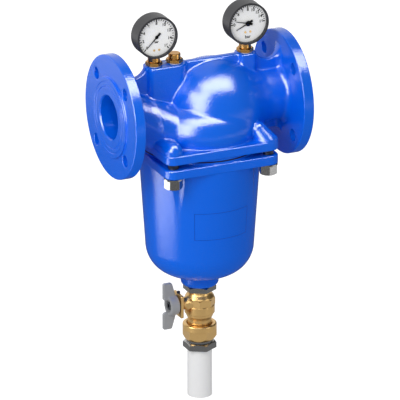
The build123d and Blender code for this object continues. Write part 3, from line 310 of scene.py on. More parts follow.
def new_look(name, tint, metal=0.0, rough=0.5, shine=0.5, glow=0.0, grain=None, detail=2.0,
             stretch=1.0):
    """A finish of one colour, made as a material. Its grain is fine unevenness:
    lumps a metre, and their depth in micrometres. Stretch is below 1 where the lumps are long and upright."""
    look = bpy.data.materials.new(name)
    look.use_nodes = True
    tree = look.node_tree
    shader = tree.nodes["Principled BSDF"]
    for setting, value in {"Base Color": colour(*tint), "Metallic": metal, "Roughness": rough,
                           "Specular IOR Level": shine, "Emission Color": (1, 1, 1, 1),
                           "Emission Strength": glow}.items():
        shader.inputs[setting].default_value = value
    if grain:
        place = add_node(tree, "ShaderNodeTexCoord", {})
        turn = add_node(tree, "ShaderNodeMapping", {"Scale": (1, 1, stretch), "Vector": place.outputs["Object"]})
        noise = add_node(tree, "ShaderNodeTexNoise",
                         {"Scale": grain[0], "Detail": detail, "Vector": turn.outputs[0]})
        bump = add_node(tree, "ShaderNodeBump", {"Distance": grain[1] * 1e-6, "Height": noise.outputs["Fac"]})
        tree.links.new(bump.outputs["Normal"], shader.inputs["Normal"])
    return look


blue_enamel = new_look("blue enamel", (2, 97, 222), rough=0.17, grain=(430, 300), detail=3.0)

shape, slope = skin_of(casting_form, (-131, -93, -62), (131, 93, 75), 2.1)
solid_piece("cast_body", "housing_body", shape, blue_enamel, normals=slope)

# Square flange of the body
# The machined rim of the casting that the bowl is bolted to, a rounded square with its edges broken by the paint.
# It is one casting with the body; here its rim is drawn by itself, so that the edge keeps its even round.


def sides_line(sides, count, half, corner, turn):
    """Points round a polygon with rounded corners: the middles of the corners' arcs, and the ways out of them.
    Half is from the centre to a side, and turn is the first corner's angle. Each side has eight more points."""
    step = 2 * math.pi / sides
    way = math.radians(turn) + step * np.arange(sides)[:, None]
    angle = way + np.linspace(-step / 2, step / 2, count)
    out = np.stack([np.cos(angle), np.sin(angle)], axis=-1)
    middle = (half - corner) / math.cos(step / 2) * np.stack([np.cos(way), np.sin(way)], axis=-1)
    middle = np.broadcast_to(middle, out.shape)
    share = np.linspace(0, 1, 10)[1:-1, None]
    side = middle[:, -1:] + (np.roll(middle, -1, axis=0)[:, :1] - middle[:, -1:]) * share
    middle = np.concatenate([middle, side], axis=1)
    out = np.concatenate([out, np.broadcast_to(out[:, -1:], side.shape)], axis=1)
    return middle.reshape(-1, 2), out.reshape(-1, 2)


def outward(points, faces):
    """A closed shape with its faces turned outwards: the volume that they enclose is above zero then."""
    a, b, c, d = (points[faces[:, i]] for i in range(4))
    volume = np.sum(a * np.cross(b, c)) + np.sum(a * np.cross(c, d))
    return points, faces if volume > 0 else faces[:, ::-1]


def lofted(rows):
    """A closed shape from rows of points: each row is a ring, and the last row meets the first."""
    grid = np.stack(rows)
    index = np.arange(grid.shape[0] * grid.shape[1]).reshape(grid.shape[:2])
    index = np.pad(index, ((0, 1), (0, 1)), "wrap")
    faces = np.stack([index[:-1, :-1], index[:-1, 1:], index[1:, 1:], index[1:, :-1]], axis=-1).reshape(-1, 4)
    return outward(grid.reshape(-1, 3), faces)


def together(*shapes):
    """Several shapes as one."""
    starts = np.cumsum([0] + [len(points) for points, _ in shapes])
    faces = np.concatenate([faces + start for (_, faces), start in zip(shapes, starts)])
    return np.concatenate([points for points, _ in shapes]), faces


def square_flange(low, high, opening, edge):
    """Plate whose rim is a quarter round above and below, with a round opening in the middle."""
    middle, out = sides_line(4, 14, PLATE_HALF, PLATE_CORNER, 45.0)
    arc = np.linspace(0, math.pi / 2, 7)
    inset = np.concatenate([edge * (1 - np.sin(arc)), edge * (1 - np.cos(arc))])
    height = np.concatenate([high - edge * (1 - np.cos(arc)), low + edge * (1 - np.sin(arc))])
    rim = [np.column_stack([middle + out * (PLATE_CORNER - i), np.full(len(out), h)])
           for i, h in zip(inset, height)]
    hole = opening * rim[0][:, :2] / np.linalg.norm(rim[0][:, :2], axis=1)[:, None]
    upper, lower = (np.column_stack([hole, np.full(len(hole), h)]) for h in (high, low))
    return lofted([upper] + rim + [lower])


def turned(profile, axis="z", middle=(0, 0, 0), columns=96):
    """A shape turned about an axis from a closed profile of (radius, distance along the axis) corners."""
    turn = np.linspace(0, 2 * math.pi, columns, endpoint=False)
    rows = []
    for radius, along in profile:
        a, b, c = radius * np.cos(turn), radius * np.sin(turn), np.full(columns, along)
        rows.append(np.stack({"z": (a, b, c), "x": (c, a, b), "y": (b, c, a)}[axis], axis=-1) + np.array(middle))
    return lofted(rows)


def eased(corners, radius, steps=5):
    """A closed profile with each corner rounded: cut back by the radius along both sides, or less where a side is
    short, and closed by a curve with the corner as its handle."""
    corners = np.asarray(corners, float)
    before = np.roll(corners, 1, axis=0) - corners
    after = np.roll(corners, -1, axis=0) - corners
    back, ahead = np.linalg.norm(before, axis=1), np.linalg.norm(after, axis=1)
    cut = np.minimum(np.broadcast_to(radius, back.shape), 0.45 * np.minimum(back, ahead))
    cut = np.where(corners[:, 0] < 1e-6, 0, cut)
    start = corners + before / back[:, None] * cut[:, None]
    end = corners + after / ahead[:, None] * cut[:, None]
    t = np.linspace(0, 1, steps)[None, :, None]
    line = (1 - t) ** 2 * start[:, None] + 2 * t * (1 - t) * corners[:, None] + t**2 * end[:, None]
    return line.reshape(-1, 2)


RIM_ROUND, REGISTER_RADIUS = 2.3, 88.0
rim = square_flange(PLATE_LOW, PLATE_TOP, MOUTH_RADIUS, RIM_ROUND)
solid_piece("body_flange_rim", "housing_body", rim, blue_enamel)


def flat_ring(inner, outer, low, high, columns=96, **place):
    """A plain ring about the bowl axis, or about another place or axis."""
    return turned([(inner, low), (outer, low), (outer, high), (inner, high)], columns=columns, **place)


register = flat_ring(MOUTH_RADIUS, REGISTER_RADIUS, PLATE_LOW - 3.0, PLATE_LOW + 1.0, columns=160)
solid_piece("body_register", "housing_body", register, blue_enamel)

# Pipe flanges
# Iron flanges, cast with the body: each has a raised face with fine turned rings, and four bolt holes round it.
# The rims and holes are machined, their edges broken, and painted with the rest.
RAISED_RADIUS, RAISED_STEP = 60.0, 3.0
RING_LINES = (46.0, 53.0)
RING_HALF, RING_DEPTH, EDGE_ROUND = 0.7, 0.6, 1.6


def drilled(piece, centres, radius, low, high):
    """Cuts round holes along the pipe through a piece, each with a small chamfer at both ends."""
    bevel, past = 0.8, 5.0
    line = [(0, low - past), (radius + bevel + past, low - past), (radius + bevel, low), (radius, low + bevel),
            (radius, high - bevel), (radius + bevel, high), (radius + bevel + past, high + past), (0, high + past)]
    drills = together(*(turned(line, axis="x", middle=(0, y, z), columns=40) for y, z in centres))
    cutter = solid_piece("drill", None, drills, None)
    change = piece.modifiers.new("holes", "BOOLEAN")
    change.object, change.solver = cutter, "EXACT"
    bpy.context.view_layer.update()
    piece.data = bpy.data.meshes.new_from_object(piece.evaluated_get(bpy.context.evaluated_depsgraph_get()))
    piece.modifiers.remove(change)
    bpy.data.objects.remove(cutter)


arc = np.linspace(0, math.pi / 2, 7)
face, edge = RUN_END - RAISED_STEP, FLANGE_RADIUS - EDGE_ROUND
line = [(PORT_RADIUS, FLANGE_BACK + 2), (PORT_RADIUS, RUN_END - 2.0), (PORT_RADIUS + 1.6, RUN_END)]
for radius in RING_LINES:
    line += [(radius - RING_HALF, RUN_END), (radius, RUN_END - RING_DEPTH), (radius + RING_HALF, RUN_END)]
line += [(RAISED_RADIUS - 0.6, RUN_END), (RAISED_RADIUS, RUN_END - 0.6), (RAISED_RADIUS, face + 1.0),
         (RAISED_RADIUS + 1.0, face)]
line += [(edge + EDGE_ROUND * math.sin(a), face - EDGE_ROUND * (1 - math.cos(a))) for a in arc]
line += [(edge + EDGE_ROUND * math.cos(a), FLANGE_BACK + EDGE_ROUND * (1 - math.sin(a))) for a in arc]
line += [(PORT_RADIUS + 4, FLANGE_BACK)]
hole = HOLE_PITCH / math.sqrt(2)
for side, name in ((-1, "inlet_flange"), (1, "outlet_flange")):
    shape = turned([(radius, side * place) for radius, place in line], axis="x", columns=160)
    piece = solid_piece(name, "housing_body", shape, blue_enamel)
    low, high = sorted((side * FLANGE_BACK, side * face))
    drilled(piece, [(sy * hole, sz * hole) for sy in (-1, 1) for sz in (-1, 1)], HOLE_RADIUS, low, high)

# Cast bowl
# A deep iron bowl below the body, cast with its own square flange and a boss for the drain, painted with the body.
# Its wall tapers for the mould and is hollowed round the bolts, so that a spanner fits.
BOWL_PLATE_TOP, BOWL_PLATE_LOW = -63.5, -77.8
WALL_RADIUS, WALL_RADIUS_Z, BOWL_TAPER = 85.92, -126.0, 0.0677
BOWL_BOTTOM, BOWL_WALL = -265.0, 8.0
RIM_OPENING, SPIGOT_RADIUS = 84.0, 82.2
BOWL_CORNER_X, BOWL_CORNER_Z, BOWL_CORNER = 33.4, -215.0, 46.4
CROWN_Z, CROWN_RADIUS = -64.0, 201.0
RELIEF_RADIUS, RELIEF_ROUND = 21.6, 0.8
DRAIN_TOP, DRAIN_RADIUS, DRAIN_BORE, DRAIN_ROUND, DRAIN_FILLET = -281.5, 28.0, 10.0, 6.0, 4.0
CLEARANCE_RADIUS = 8.75


def wall_radius(z):
    """Radius of the tapered wall at a height."""
    return WALL_RADIUS + BOWL_TAPER * (z - WALL_RADIUS_Z)


def bowl_line(x, y, z, inset):
    """The bowl's own shape: a tapered wall, a round corner and a shallow crown that meet without a step."""
    out = np.hypot(x, y)
    wall = (out - wall_radius(z)) * math.cos(math.atan(BOWL_TAPER))
    corner = np.hypot(out - BOWL_CORNER_X, z - BOWL_CORNER_Z) - BOWL_CORNER
    crown = np.hypot(out, z - CROWN_Z) - CROWN_RADIUS
    above = z - BOWL_CORNER_Z > -BOWL_TAPER * (out - BOWL_CORNER_X)
    below = out < (CROWN_Z - z) * BOWL_CORNER_X / (CROWN_Z - BOWL_CORNER_Z)
    return np.where(above, wall, np.where(below, crown, corner)) + inset


def bowl_form(x, y, z):
    """Outer shape of the bowl less its hollow, as the distance from it in millimetres."""
    form = np.maximum(bowl_line(x, y, z, 0.0), z - BOWL_PLATE_TOP)
    from_bolt = np.hypot(np.abs(x) - BOLT_PLACE, np.abs(y) - BOLT_PLACE)
    form = round_both(form, RELIEF_RADIUS - from_bolt, RELIEF_ROUND)
    drain = round_both(np.hypot(x, y) - DRAIN_RADIUS, np.maximum(DRAIN_TOP - z, z + 240.0), DRAIN_ROUND)
    form = round_join(form, drain, DRAIN_FILLET)
    flat = rounded_square(x, y, PLATE_HALF - PLATE_LIP, PLATE_CORNER - PLATE_LIP)
    within = np.maximum(z - BOWL_PLATE_TOP - UNDER_RIM, BOWL_PLATE_LOW - UNDER_RIM - z)
    form = round_join(form, round_both(flat, within, LIP_ROUND), PLATE_FILLET)
    hollow = np.maximum(bowl_line(x, y, z, BOWL_WALL), BOWL_BOTTOM + 10.0 - z)
    bore = np.hypot(x, y) - DRAIN_BORE
    bolt = np.maximum(from_bolt - CLEARANCE_RADIUS, np.abs(z + 70.0) - 8.0)
    return np.maximum(form, -np.minimum.reduce([hollow, bore, bolt]))


shape, slope = skin_of(bowl_form, (-93, -93, -284), (93, 93, -60), 2.2)
solid_piece("cast_bowl", "filter_bowl", shape, blue_enamel, normals=slope)
rim = square_flange(BOWL_PLATE_LOW, BOWL_PLATE_TOP, RIM_OPENING, RIM_ROUND)
solid_piece("bowl_flange_rim", "filter_bowl", rim, blue_enamel)
spigot = flat_ring(SPIGOT_RADIUS, REGISTER_RADIUS, BOWL_PLATE_TOP - 1.0, BOWL_PLATE_TOP + 3.0, columns=160)
solid_piece("bowl_spigot", "filter_bowl", spigot, blue_enamel)

# Frame on the bowl's front
# A bare rectangle cast a little proud of the wall, where such bowls take a plate; nothing is fixed in it here.
# Its ribs wear a darker, duller blue than the enamel: painted shade, for the thin dark line along its edge.
FRAME_TURN, SUNK = math.radians(-89.2), 0.4


def wall_frame(half_angle, low, high, width, height):
    """Four thin ribs that follow the wall: a closed strip round a rectangle, its section a low rounded ridge."""
    side = np.linspace(-1, 1, 40, endpoint=False)
    rise = np.linspace(-1, 1, 12, endpoint=False)
    across = np.concatenate([side, np.ones(12), -side, -np.ones(12)])
    up = np.concatenate([-np.ones(40), rise, np.ones(40), -rise])
    rows = []
    for turn in np.linspace(0, 2 * math.pi, 8, endpoint=False):
        z = (low + high) / 2 + up * ((high - low) / 2 + width / 2 * math.cos(turn))
        angle = FRAME_TURN + across * (half_angle + width / 2 * math.cos(turn) / wall_radius(z))
        out = wall_radius(z) - SUNK + (height + SUNK) * math.sin(turn)
        rows.append(np.stack([out * np.cos(angle), out * np.sin(angle), z], axis=-1))
    return lofted(rows)


# The darker blue of the frame is painted shade.
frame_painted_shade = new_look("frame blue in painted shade", (2, 58, 168), rough=0.6, shine=0.1, grain=(520, 30))
strip = wall_frame(math.radians(30), -183.0, -141.0, 1.3, 0.12)
solid_piece("bowl_frame", "filter_bowl", strip, frame_painted_shade, sharp=60)

# Bolts and washers
# Four hexagon bolts of zinc-plated steel, put in from below and screwed into blind bosses of the body.
# Each turns down on a flat washer; the corners of its head are turned off to a cone.
zinc = new_look("zinc plated steel", (168, 168, 168), metal=1.0, rough=0.24, grain=(900, 4))
# The shanks, seen only in the narrow gap between the flanges, and the screw in the handle's recess wear a darker,
# bluish steel: painted shade.
steel_in_painted_shade = new_look("steel thread in painted shade", (74, 77, 84), metal=1.0, rough=0.5, grain=(700, 10))


def nut(half, low, high, bore=0.0, turn=30.0, sides=6, flat=0.95, slope=0.58, lower=True, upper=True, at=(0, 0)):
    """A prism whose corners are turned off to a cone at its ends, so that each side ends in a curve."""
    corner = half * 0.04
    middle, out = sides_line(sides, 6, half, corner, turn)
    rim = middle + out * corner
    reach = np.linalg.norm(rim, axis=1)
    way = rim / reach[:, None]
    drop = np.maximum(reach - flat * half, 0) * slope

    def row(plan, height):
        return np.column_stack([plan + np.array(at), np.broadcast_to(height, len(plan))])

    rows = [row(way * bore, low), row(way * bore, high)]
    rows += [row(way * flat * half, high), row(rim, high - drop)] if upper else [row(rim, high)]
    rows += [row(rim, low + drop), row(way * flat * half, low)] if lower else [row(rim, low)]
    return lofted(rows)


HEAD_TOP = BOWL_PLATE_LOW - 2.5
heads, shanks, washers = [], [], []
for x, y in [(sx * BOLT_PLACE, sy * BOLT_PLACE) for sx in (-1, 1) for sy in (-1, 1)]:
    turn = 45.0 if x * y > 0 else 15.0
    heads.append(nut(12.0, HEAD_TOP - 14.0, HEAD_TOP, turn=turn, upper=False, at=(x, y)))
    line = [(0, HEAD_TOP - 1), (8, HEAD_TOP - 1), (8, -42), (7, -41), (0, -41)]
    shanks.append(turned(line, middle=(x, y, 0), columns=32))
    ring = eased([(8.4, HEAD_TOP), (8.4, BOWL_PLATE_LOW), (14, BOWL_PLATE_LOW), (14, HEAD_TOP)], 0.4)
    washers.append(turned(ring, middle=(x, y, 0), columns=64))
solid_piece("bolt_heads", "bowl_bolts", together(*heads), zinc)
solid_piece("bolt_shanks", "bowl_bolts", together(*shanks), steel_in_painted_shade)
solid_piece("washers", "bowl_washers", together(*washers), zinc)

# Gauge cases
# Round cups pressed from steel sheet and stove-enamelled black, with a narrow rim that holds the window.
GAUGE_Z, GAUGE_OUTER, DIAL_OUTER = 117.0, 32.0, 29.0
CASE_FRONT, CASE_BACK, DIAL_FACE = -15.0, 11.0, -9.8
gauge_black = new_look("gauge black", (54, 54, 57), rough=0.36, shine=0.4, grain=(900, 8))
for name, x in GAUGE_X.items():
    line = eased([(0, CASE_BACK - 2), (DIAL_OUTER, CASE_BACK - 2), (DIAL_OUTER, CASE_FRONT),
                  (GAUGE_OUTER, CASE_FRONT), (GAUGE_OUTER, CASE_BACK), (0, CASE_BACK)],
                 (0, 0.5, 0.6, 1.2, 1.6, 0), steps=7)
    shape = turned(line, axis="y", middle=(x, 0, GAUGE_Z), columns=128)
    solid_piece(name + "_case", name + "_gauge_case", shape, gauge_black)

# Dials
# Thin aluminium plates, painted white and printed in black: a scale of fine lines with a figure at each long one.
# The inlet's scale takes three quarters of a turn and the outlet's half a turn.
dial_white = new_look("dial white", (248, 248, 246), rough=0.5, shine=0.3, grain=(300, 2))
dial_ink = new_look("dial ink", (30, 30, 32), rough=0.6, shine=0.2)


def scale_lines(x, start, end, long_count, parts):
    """Thin printed bars on the dial along an arc, every long one reaching further in."""
    count = (long_count - 1) * parts + 1
    angle = np.radians(np.linspace(start, end, count))
    is_long = np.arange(count) % parts == 0
    inner, outer = np.where(is_long, 23.6, 25.0), np.full(count, 27.4)
    half = np.where(is_long, 0.85, 0.5)
    along = np.stack([np.cos(angle), np.sin(angle)], axis=1)[:, None]
    side = np.stack([-np.sin(angle), np.cos(angle)], axis=1)[:, None]
    reach, wide = np.stack([inner, outer, outer, inner], axis=1), np.stack([-half, -half, half, half], axis=1)
    box = np.empty((count, 8, 3))
    box[:, :, ::2] = np.tile(along * reach[..., None] + side * wide[..., None], (1, 2, 1))
    box[:, :, 1] = DIAL_FACE + np.repeat((-0.06, 0.02), 4)
    box += (x, 0, GAUGE_Z)
    side_faces = np.array([(0, 1, 2, 3), (7, 6, 5, 4), (0, 4, 5, 1), (1, 5, 6, 2), (2, 6, 7, 3), (3, 7, 4, 0)])
    return outward(box.reshape(-1, 3), (np.arange(count)[:, None, None] * 8 + side_faces).reshape(-1, 4))


def plain_piece(name, points, faces, look):
    """A piece with its points and flat faces just as they are given."""
    mesh = bpy.data.meshes.new(name)
    mesh.from_pydata(points, [], faces)
    mesh.materials.append(look)
    return in_scene(name, mesh)


def printed_words(name, node, words):
    """Words in ink that face the front: each is (text, middle x, middle z, height) in millimetres."""
    points, faces = [], []
    for text, x, z, high in words:
        line = bpy.data.curves.new("word", "FONT")
        line.body = text
        line.size, line.extrude, line.offset = high * 1.35 * MM, 0.04 * MM, 0.2 * MM
        line.align_x = line.align_y = "CENTER"
        holder = bpy.data.objects.new("word", line)
        mesh = holder.to_mesh()
        start = len(points)
        for point in mesh.vertices:
            points.append((AXIS_X + x * MM + point.co.x, (DIAL_FACE - 0.02) * MM - point.co.z, z * MM + point.co.y))
        faces += [tuple(start + i for i in face.vertices) for face in mesh.polygons]
        holder.to_mesh_clear()
        bpy.data.curves.remove(line)
    piece = plain_piece(name, points, faces, dial_ink)
    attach(piece, "housing")
    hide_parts(node)


for name, start, end, parts, word_z in (("inlet", 225, -45, 4, -7.5), ("outlet", 180, 0, 3, -21.0)):
    x, node = GAUGE_X[name], name + "_gauge_dial"
    plate = flat_ring(2, DIAL_OUTER, DIAL_FACE, DIAL_FACE + 0.8, columns=128, axis="y", middle=(x, 0, GAUGE_Z))
    solid_piece(name + "_dial", node, plate, dial_white)
    solid_piece(name + "_scale", node, scale_lines(x, start, end, 9, parts), dial_ink)
    words = []
    for i, turn in enumerate(np.radians(np.linspace(start, end, 9))):
        words.append((str(2 * i), x + 21.3 * math.cos(turn), GAUGE_Z + 21.0 * math.sin(turn), 4.6))
    words.append(("bar", x, GAUGE_Z + word_z, 3.6 if name == "inlet" else 5.0))
    printed_words(name + "_figures", node, words)

# Pointers
# Black needles stamped from thin sheet, each with a wide tail and a round hub pressed on its spindle.
# The outlet gauge has two: the pressure's own and, in front of it, one that is set by hand.
pointer_black = new_look("pointer black", (18, 18, 19), rough=0.5, grain=(1500, 3))


def pointer(node, x, turn, tip, tail, hub):
    """A needle in the place of a node: its outline tapers to the tip, and a thin spindle goes back from its hub."""
    low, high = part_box(node)
    front, back = low.y / MM, low.y / MM + 0.5
    along, side = np.array([(tip, 0.3), (0, 1.0), (-0.4 * tail, 1.6), (-tail, 1.7)]).T
    along, side = np.concatenate([along, along[::-1]]), np.concatenate([side, -side[::-1]])
    turn = math.radians(turn)

    def row(wide, y):
        return np.stack([x + along * math.cos(turn) - wide * side * math.sin(turn), np.full(8, y),
                         GAUGE_Z + along * math.sin(turn) + wide * side * math.cos(turn)], axis=1)

    blade = lofted([row(0, front), row(1, front), row(1, back), row(0, back)])
    return together(blade, *(flat_ring(0, radius, front, end, columns, axis="y", middle=(x, 0, GAUGE_Z))
                             for radius, end, columns in ((hub, back, 32), (1.0, high.y / MM, 16))))


for node, turn, tip, tail, hub in (("inlet_pointer", 225, 22, 8, 2.6), ("outlet_pointer", 205, 21, 8, 3.6),
                                   ("outlet_set_pointer", 165, 21, 7, 4.2)):
    blade = pointer(node, GAUGE_X[node.split("_")[0]], turn, tip, tail, hub)
    solid_piece(node + "_shown", node, blade, pointer_black, body=node.replace("pointer", "needle"))

# Gauge windows
# Discs of clear plastic held behind the rim.
window = new_look("gauge window", (255, 255, 255), rough=0.05)
tree = window.node_tree
clear = add_node(tree, "ShaderNodeBsdfTransparent", {})
gloss = add_node(tree, "ShaderNodeBsdfGlossy", {"Roughness": 0.05})
both = add_node(tree, "ShaderNodeMixShader", {"Fac": 0.02, 1: clear.outputs[0], 2: gloss.outputs[0]})
tree.links.new(both.outputs[0], tree.nodes["Material Output"].inputs["Surface"])


def wear(look, names):
    """Gives a look to pieces that keep the shape they have."""
    for name in names.split():
        nodes[name].data.materials.clear()
        nodes[name].data.materials.append(look)


wear(window, "inlet_gauge_lens outlet_gauge_lens")

# Brass fittings on the spine
# Turned from hexagon bar: an adapter under each gauge and a plug between them, each on a thin sealing ring.
brown_brass = new_look("brown brass", (190, 142, 76), metal=1.0, rough=0.26, grain=(1200, 5))
seal_fibre = new_look("seal fibre", (196, 196, 196), rough=0.6, grain=(2500, 10))
SCREW_LOW, HEX_LOW, HEX_HIGH = 57.0, 71.0, 77.0


def fitting(x, top, bore, round_off):
    """A hexagon with its corners turned off, a round part above it and a screwed end below."""
    neck = eased([(bore, HEX_HIGH - 0.5), (9, HEX_HIGH - 0.5), (9, top), (bore, top)], (0, 0, round_off, 0.3))
    return together(nut(11.0, HEX_LOW, HEX_HIGH, bore=bore, turn=37.0, flat=0.97, at=(x, 0)),
                    turned(neck, middle=(x, 0, 0), columns=64),
                    flat_ring(bore, 8, SCREW_LOW, HEX_LOW + 0.5, middle=(x, 0, 0)))


for name, x in GAUGE_X.items():
    solid_piece(name + "_adapter", name + "_gauge_adapter", fitting(x, 84.5, 5.0, 0.4), brown_brass)
solid_piece("plug", "vent_plug", fitting(TOWER_NOSE_X, HEX_HIGH + 8.0, 0.0, 1.4), brown_brass)

# Ball valve
# A forged brass body between the bowl's nipple and the union: round above, eight flats in the middle, a band below.
# Its screwed tail and the stem's boss are turned, and the whole is blasted to a satin finish.
BALL_Z, VALVE_TOP, VALVE_LOW, TAIL_LOW = -309.5, -290.0, -326.5, -354.5
valve_brass = new_look("satin brass", (218, 180, 118), metal=1.0, rough=0.33, grain=(1500, 6))
upper = eased([(14.1, -302.5), (14.1, VALVE_TOP), (17.2, VALVE_TOP), (17.6, -295.0), (21.8, -301.0), (21.8, -303.5),
               (14.1, -303.5)], (0, 0, 0.8, 3.0, 2.5, 0.8, 0), steps=7)
band = eased([(15.1, VALVE_LOW), (15.1, -313.5), (22.4, -313.5), (22.4, VALVE_LOW)], (0, 0, 1.2, 1.4), steps=7)
boss = eased([(5.1, -17), (13.5, -17), (10.0, -22.5), (9.0, -25), (9.0, -28), (5.1, -28)], (0, 0, 3, 2, 0.6, 0.3),
             steps=6)
flats = nut(21.3, -314.5, -302.5, bore=15.1, turn=22.5, sides=8, flat=0.985)
boss = turned(boss, axis="x", middle=(0, 0, BALL_Z), columns=64)
solid_piece("valve_shell", "valve_body", together(turned(upper), flats, turned(band), boss), valve_brass)
line = eased([(DRAIN_BORE, TAIL_LOW), (19.3, TAIL_LOW), (19.3, -349.5), (17.5, -349.5), (17.5, -335.0),
              (20.2, -329.5), (20.2, VALVE_LOW), (15, VALVE_LOW), (15, -324.5), (DRAIN_BORE, -324.5)],
             (0.2, 0.4, 0.4, 0.4, 3, 2, 0.2, 0.2, 0.2, 0.2), steps=7)
solid_piece("valve_tail_piece", "valve_tail", turned(line), valve_brass)

# Union nut
# Turned from hexagon bar in the same brass: round above with a rounded shoulder, its lower corners turned off.
UNION_TOP, UNION_LOW = -342.5, -367.5
line = eased([(19.6, UNION_TOP - 7.0), (17.8, UNION_TOP - 7.0), (17.8, UNION_TOP - 2.0), (19.8, UNION_TOP),
              (25.2, UNION_TOP), (25.2, -352.0), (19.6, -352.0)], (0, 0.2, 0.5, 0.5, 3.4, 0.6, 0), steps=8)
flats = nut(22.0, UNION_LOW, -351.0, bore=19.6, flat=0.955, slope=1.25, upper=False)
solid_piece("union_ring", "union_nut", together(turned(line), flats), valve_brass)

# Steel nipple and adapter
# Two zinc-plated hexagons: the nipple that joins the bowl to the valve, and the adapter from the union to the pipe.
nipple = together(nut(21.5, VALVE_TOP, DRAIN_TOP, bore=DRAIN_BORE, flat=0.96, lower=False),
                  flat_ring(DRAIN_BORE, 16, DRAIN_TOP - 0.5, -262),
                  flat_ring(DRAIN_BORE, 14, -294.5, VALVE_TOP + 0.5))
solid_piece("nipple", "drain_nipple", nipple, zinc)
PIPE_TOP, PIPE_LOW, PIPE_OUTER, PIPE_INNER = -381.5, -456.5, 18.1, 15.4
collar = flat_ring(DRAIN_BORE, 19.4, -371.6, -356.5)
flats = nut(21.75, PIPE_TOP, -371.5, bore=16.6, flat=0.96, lower=False)
solid_piece("pipe_adapter", "outlet_adapter", together(flats, collar), zinc)

# Drain pipe
# A short white plastic pipe, screwed into the adapter and cut square below.
pipe_white = new_look("white plastic", (232, 232, 232), rough=0.38, shine=0.4, grain=(400, 6))
line = eased([(PIPE_INNER, PIPE_LOW), (PIPE_OUTER, PIPE_LOW), (PIPE_OUTER, PIPE_TOP), (16.6, PIPE_TOP),
              (16.6, -371.6), (PIPE_INNER, -371.6)], (0.5, 0.8, 0.2, 0.1, 0.2, 0.2))
solid_piece("pipe", "drain_pipe", turned(line), pipe_white)

# Valve handle
# A die-cast alloy handle, painted grey: two thick wings on a round hub with soft edges, held by a recessed screw.
HUB_BACK, HUB_FRONT, HUB_RADIUS = 37.0, 51.0, 14.5
handle_grey = new_look("handle grey", (168, 169, 171), metal=0.25, rough=0.4, grain=(1100, 10))


def flat_shape(a, b, outline):
    """Distance from a closed outline in a plane, below zero inside it."""
    nearest = np.full(a.shape, np.inf)
    inside = np.zeros(a.shape, bool)
    for (p, q), (r, s) in zip(outline, np.roll(outline, -1, axis=0)):
        t = np.clip(((a - p) * (r - p) + (b - q) * (s - q)) / ((r - p) ** 2 + (s - q) ** 2), 0, 1)
        nearest = np.minimum(nearest, np.hypot(a - p - t * (r - p), b - q - t * (s - q)))
        if s != q:
            inside ^= ((q > b) != (s > b)) & (a < (r - p) * (b - q) / (s - q) + p)
    return np.where(inside, -nearest, nearest)


WING_OUTLINE = eased([(39.0, 0), (39.0, 13.5), (45.5, 36.0), (59.0, 36.0), (59.0, 10.5), (50.0, 8.5), (50.0, 0)],
                     (0, 3, 2.5, 2.5, 2.5, 2, 0), steps=6)
WING_OUTLINE = WING_OUTLINE[np.linalg.norm(WING_OUTLINE - np.roll(WING_OUTLINE, -1, axis=0), axis=1) > 1e-6]


def handle_form(x, y, z):
    """Hub, two wings and the holes for the screw head and the stem."""
    out, high = -x, np.abs(z - BALL_Z)
    hub = round_both(np.hypot(y, high) - HUB_RADIUS, np.abs(out - (HUB_BACK + HUB_FRONT) / 2) - 7.0, 1.5)
    wings = round_both(flat_shape(out, high, WING_OUTLINE), np.abs(y) - 3.0, 1.3)
    form = round_join(hub, wings, 2.0)
    recess = np.maximum(np.hypot(y, high) - 10.0, HUB_FRONT - 4.0 - out)
    return np.maximum(form, -np.minimum(recess, np.hypot(y, high) - 5.2))


shape, slope = skin_of(handle_form, (-61, -16, BALL_Z - 38), (-35, 16, BALL_Z + 38), 0.8)
solid_piece("handle", "valve_handle", shape, handle_grey, body="drain_handle", normals=slope)

# Stop plate
# A square of the same brass as the valve, with rounded corners, and a small dark screw on its upper edge.
middle, out = sides_line(4, 6, 16.2, 2.0, 45.0)
plan = (middle + out * 2.0) * (15.0 / 16.2, 17.5 / 16.2)
rows = []
for share, place in ((0.3, -36.0), (0.3, -32.0), (0.975, -32.0), (1.0, -32.4), (1.0, -35.6), (0.975, -36.0)):
    rows.append(np.column_stack([np.full(len(plan), place), plan[:, 0] * share, BALL_Z + plan[:, 1] * share]))
solid_piece("handle_stop", "stop_plate", lofted(rows), valve_brass)
dark_screw = new_look("dark screw", (44, 46, 66), metal=0.3, rough=0.35, grain=(1500, 5))
wear(dark_screw, "stop_screw")

# Inner parts
# The pieces that the casting, the cases and the valve hide: the sliding filter insert with its woven steel meshes,
# the rotor with its jets, the spring, the seals, and the works of the gauges and the valve.
insert_plastic = new_look("insert plastic", (36, 38, 42), rough=0.45, grain=(900, 10))
black_rubber = new_look("black rubber", (22, 22, 23), rough=0.7, shine=0.3, grain=(1500, 20))
bronze = new_look("bronze", (176, 124, 70), metal=1.0, rough=0.35, grain=(1200, 5))
stainless = new_look("stainless steel", (188, 188, 186), metal=1.0, rough=0.25,
                     grain=(900, 4), stretch=0.1)
chrome = new_look("chrome", (220, 220, 220), metal=1.0, rough=0.08, grain=(500, 1))
seat_white = new_look("seat plastic", (228, 228, 222), rough=0.5, grain=(900, 6))

woven = new_look("woven steel mesh", (170, 170, 168), metal=1.0, rough=0.35)
tree = woven.node_tree
place = add_node(tree, "ShaderNodeTexCoord", {})
wires = [add_node(tree, "ShaderNodeTexWave", {"Scale": 400.0, "Vector": place.outputs["Object"]},
                  bands_direction=direction).outputs["Fac"] for direction in ("DIAGONAL", "Z")]
crossed = add_node(tree, "ShaderNodeMath", {0: wires[0], 1: wires[1]}, operation="MAXIMUM")
bumps = add_node(tree, "ShaderNodeBump", {"Distance": 0.0002, "Height": crossed.outputs[0]})
tree.links.new(bumps.outputs["Normal"], tree.nodes["Principled BSDF"].inputs["Normal"])

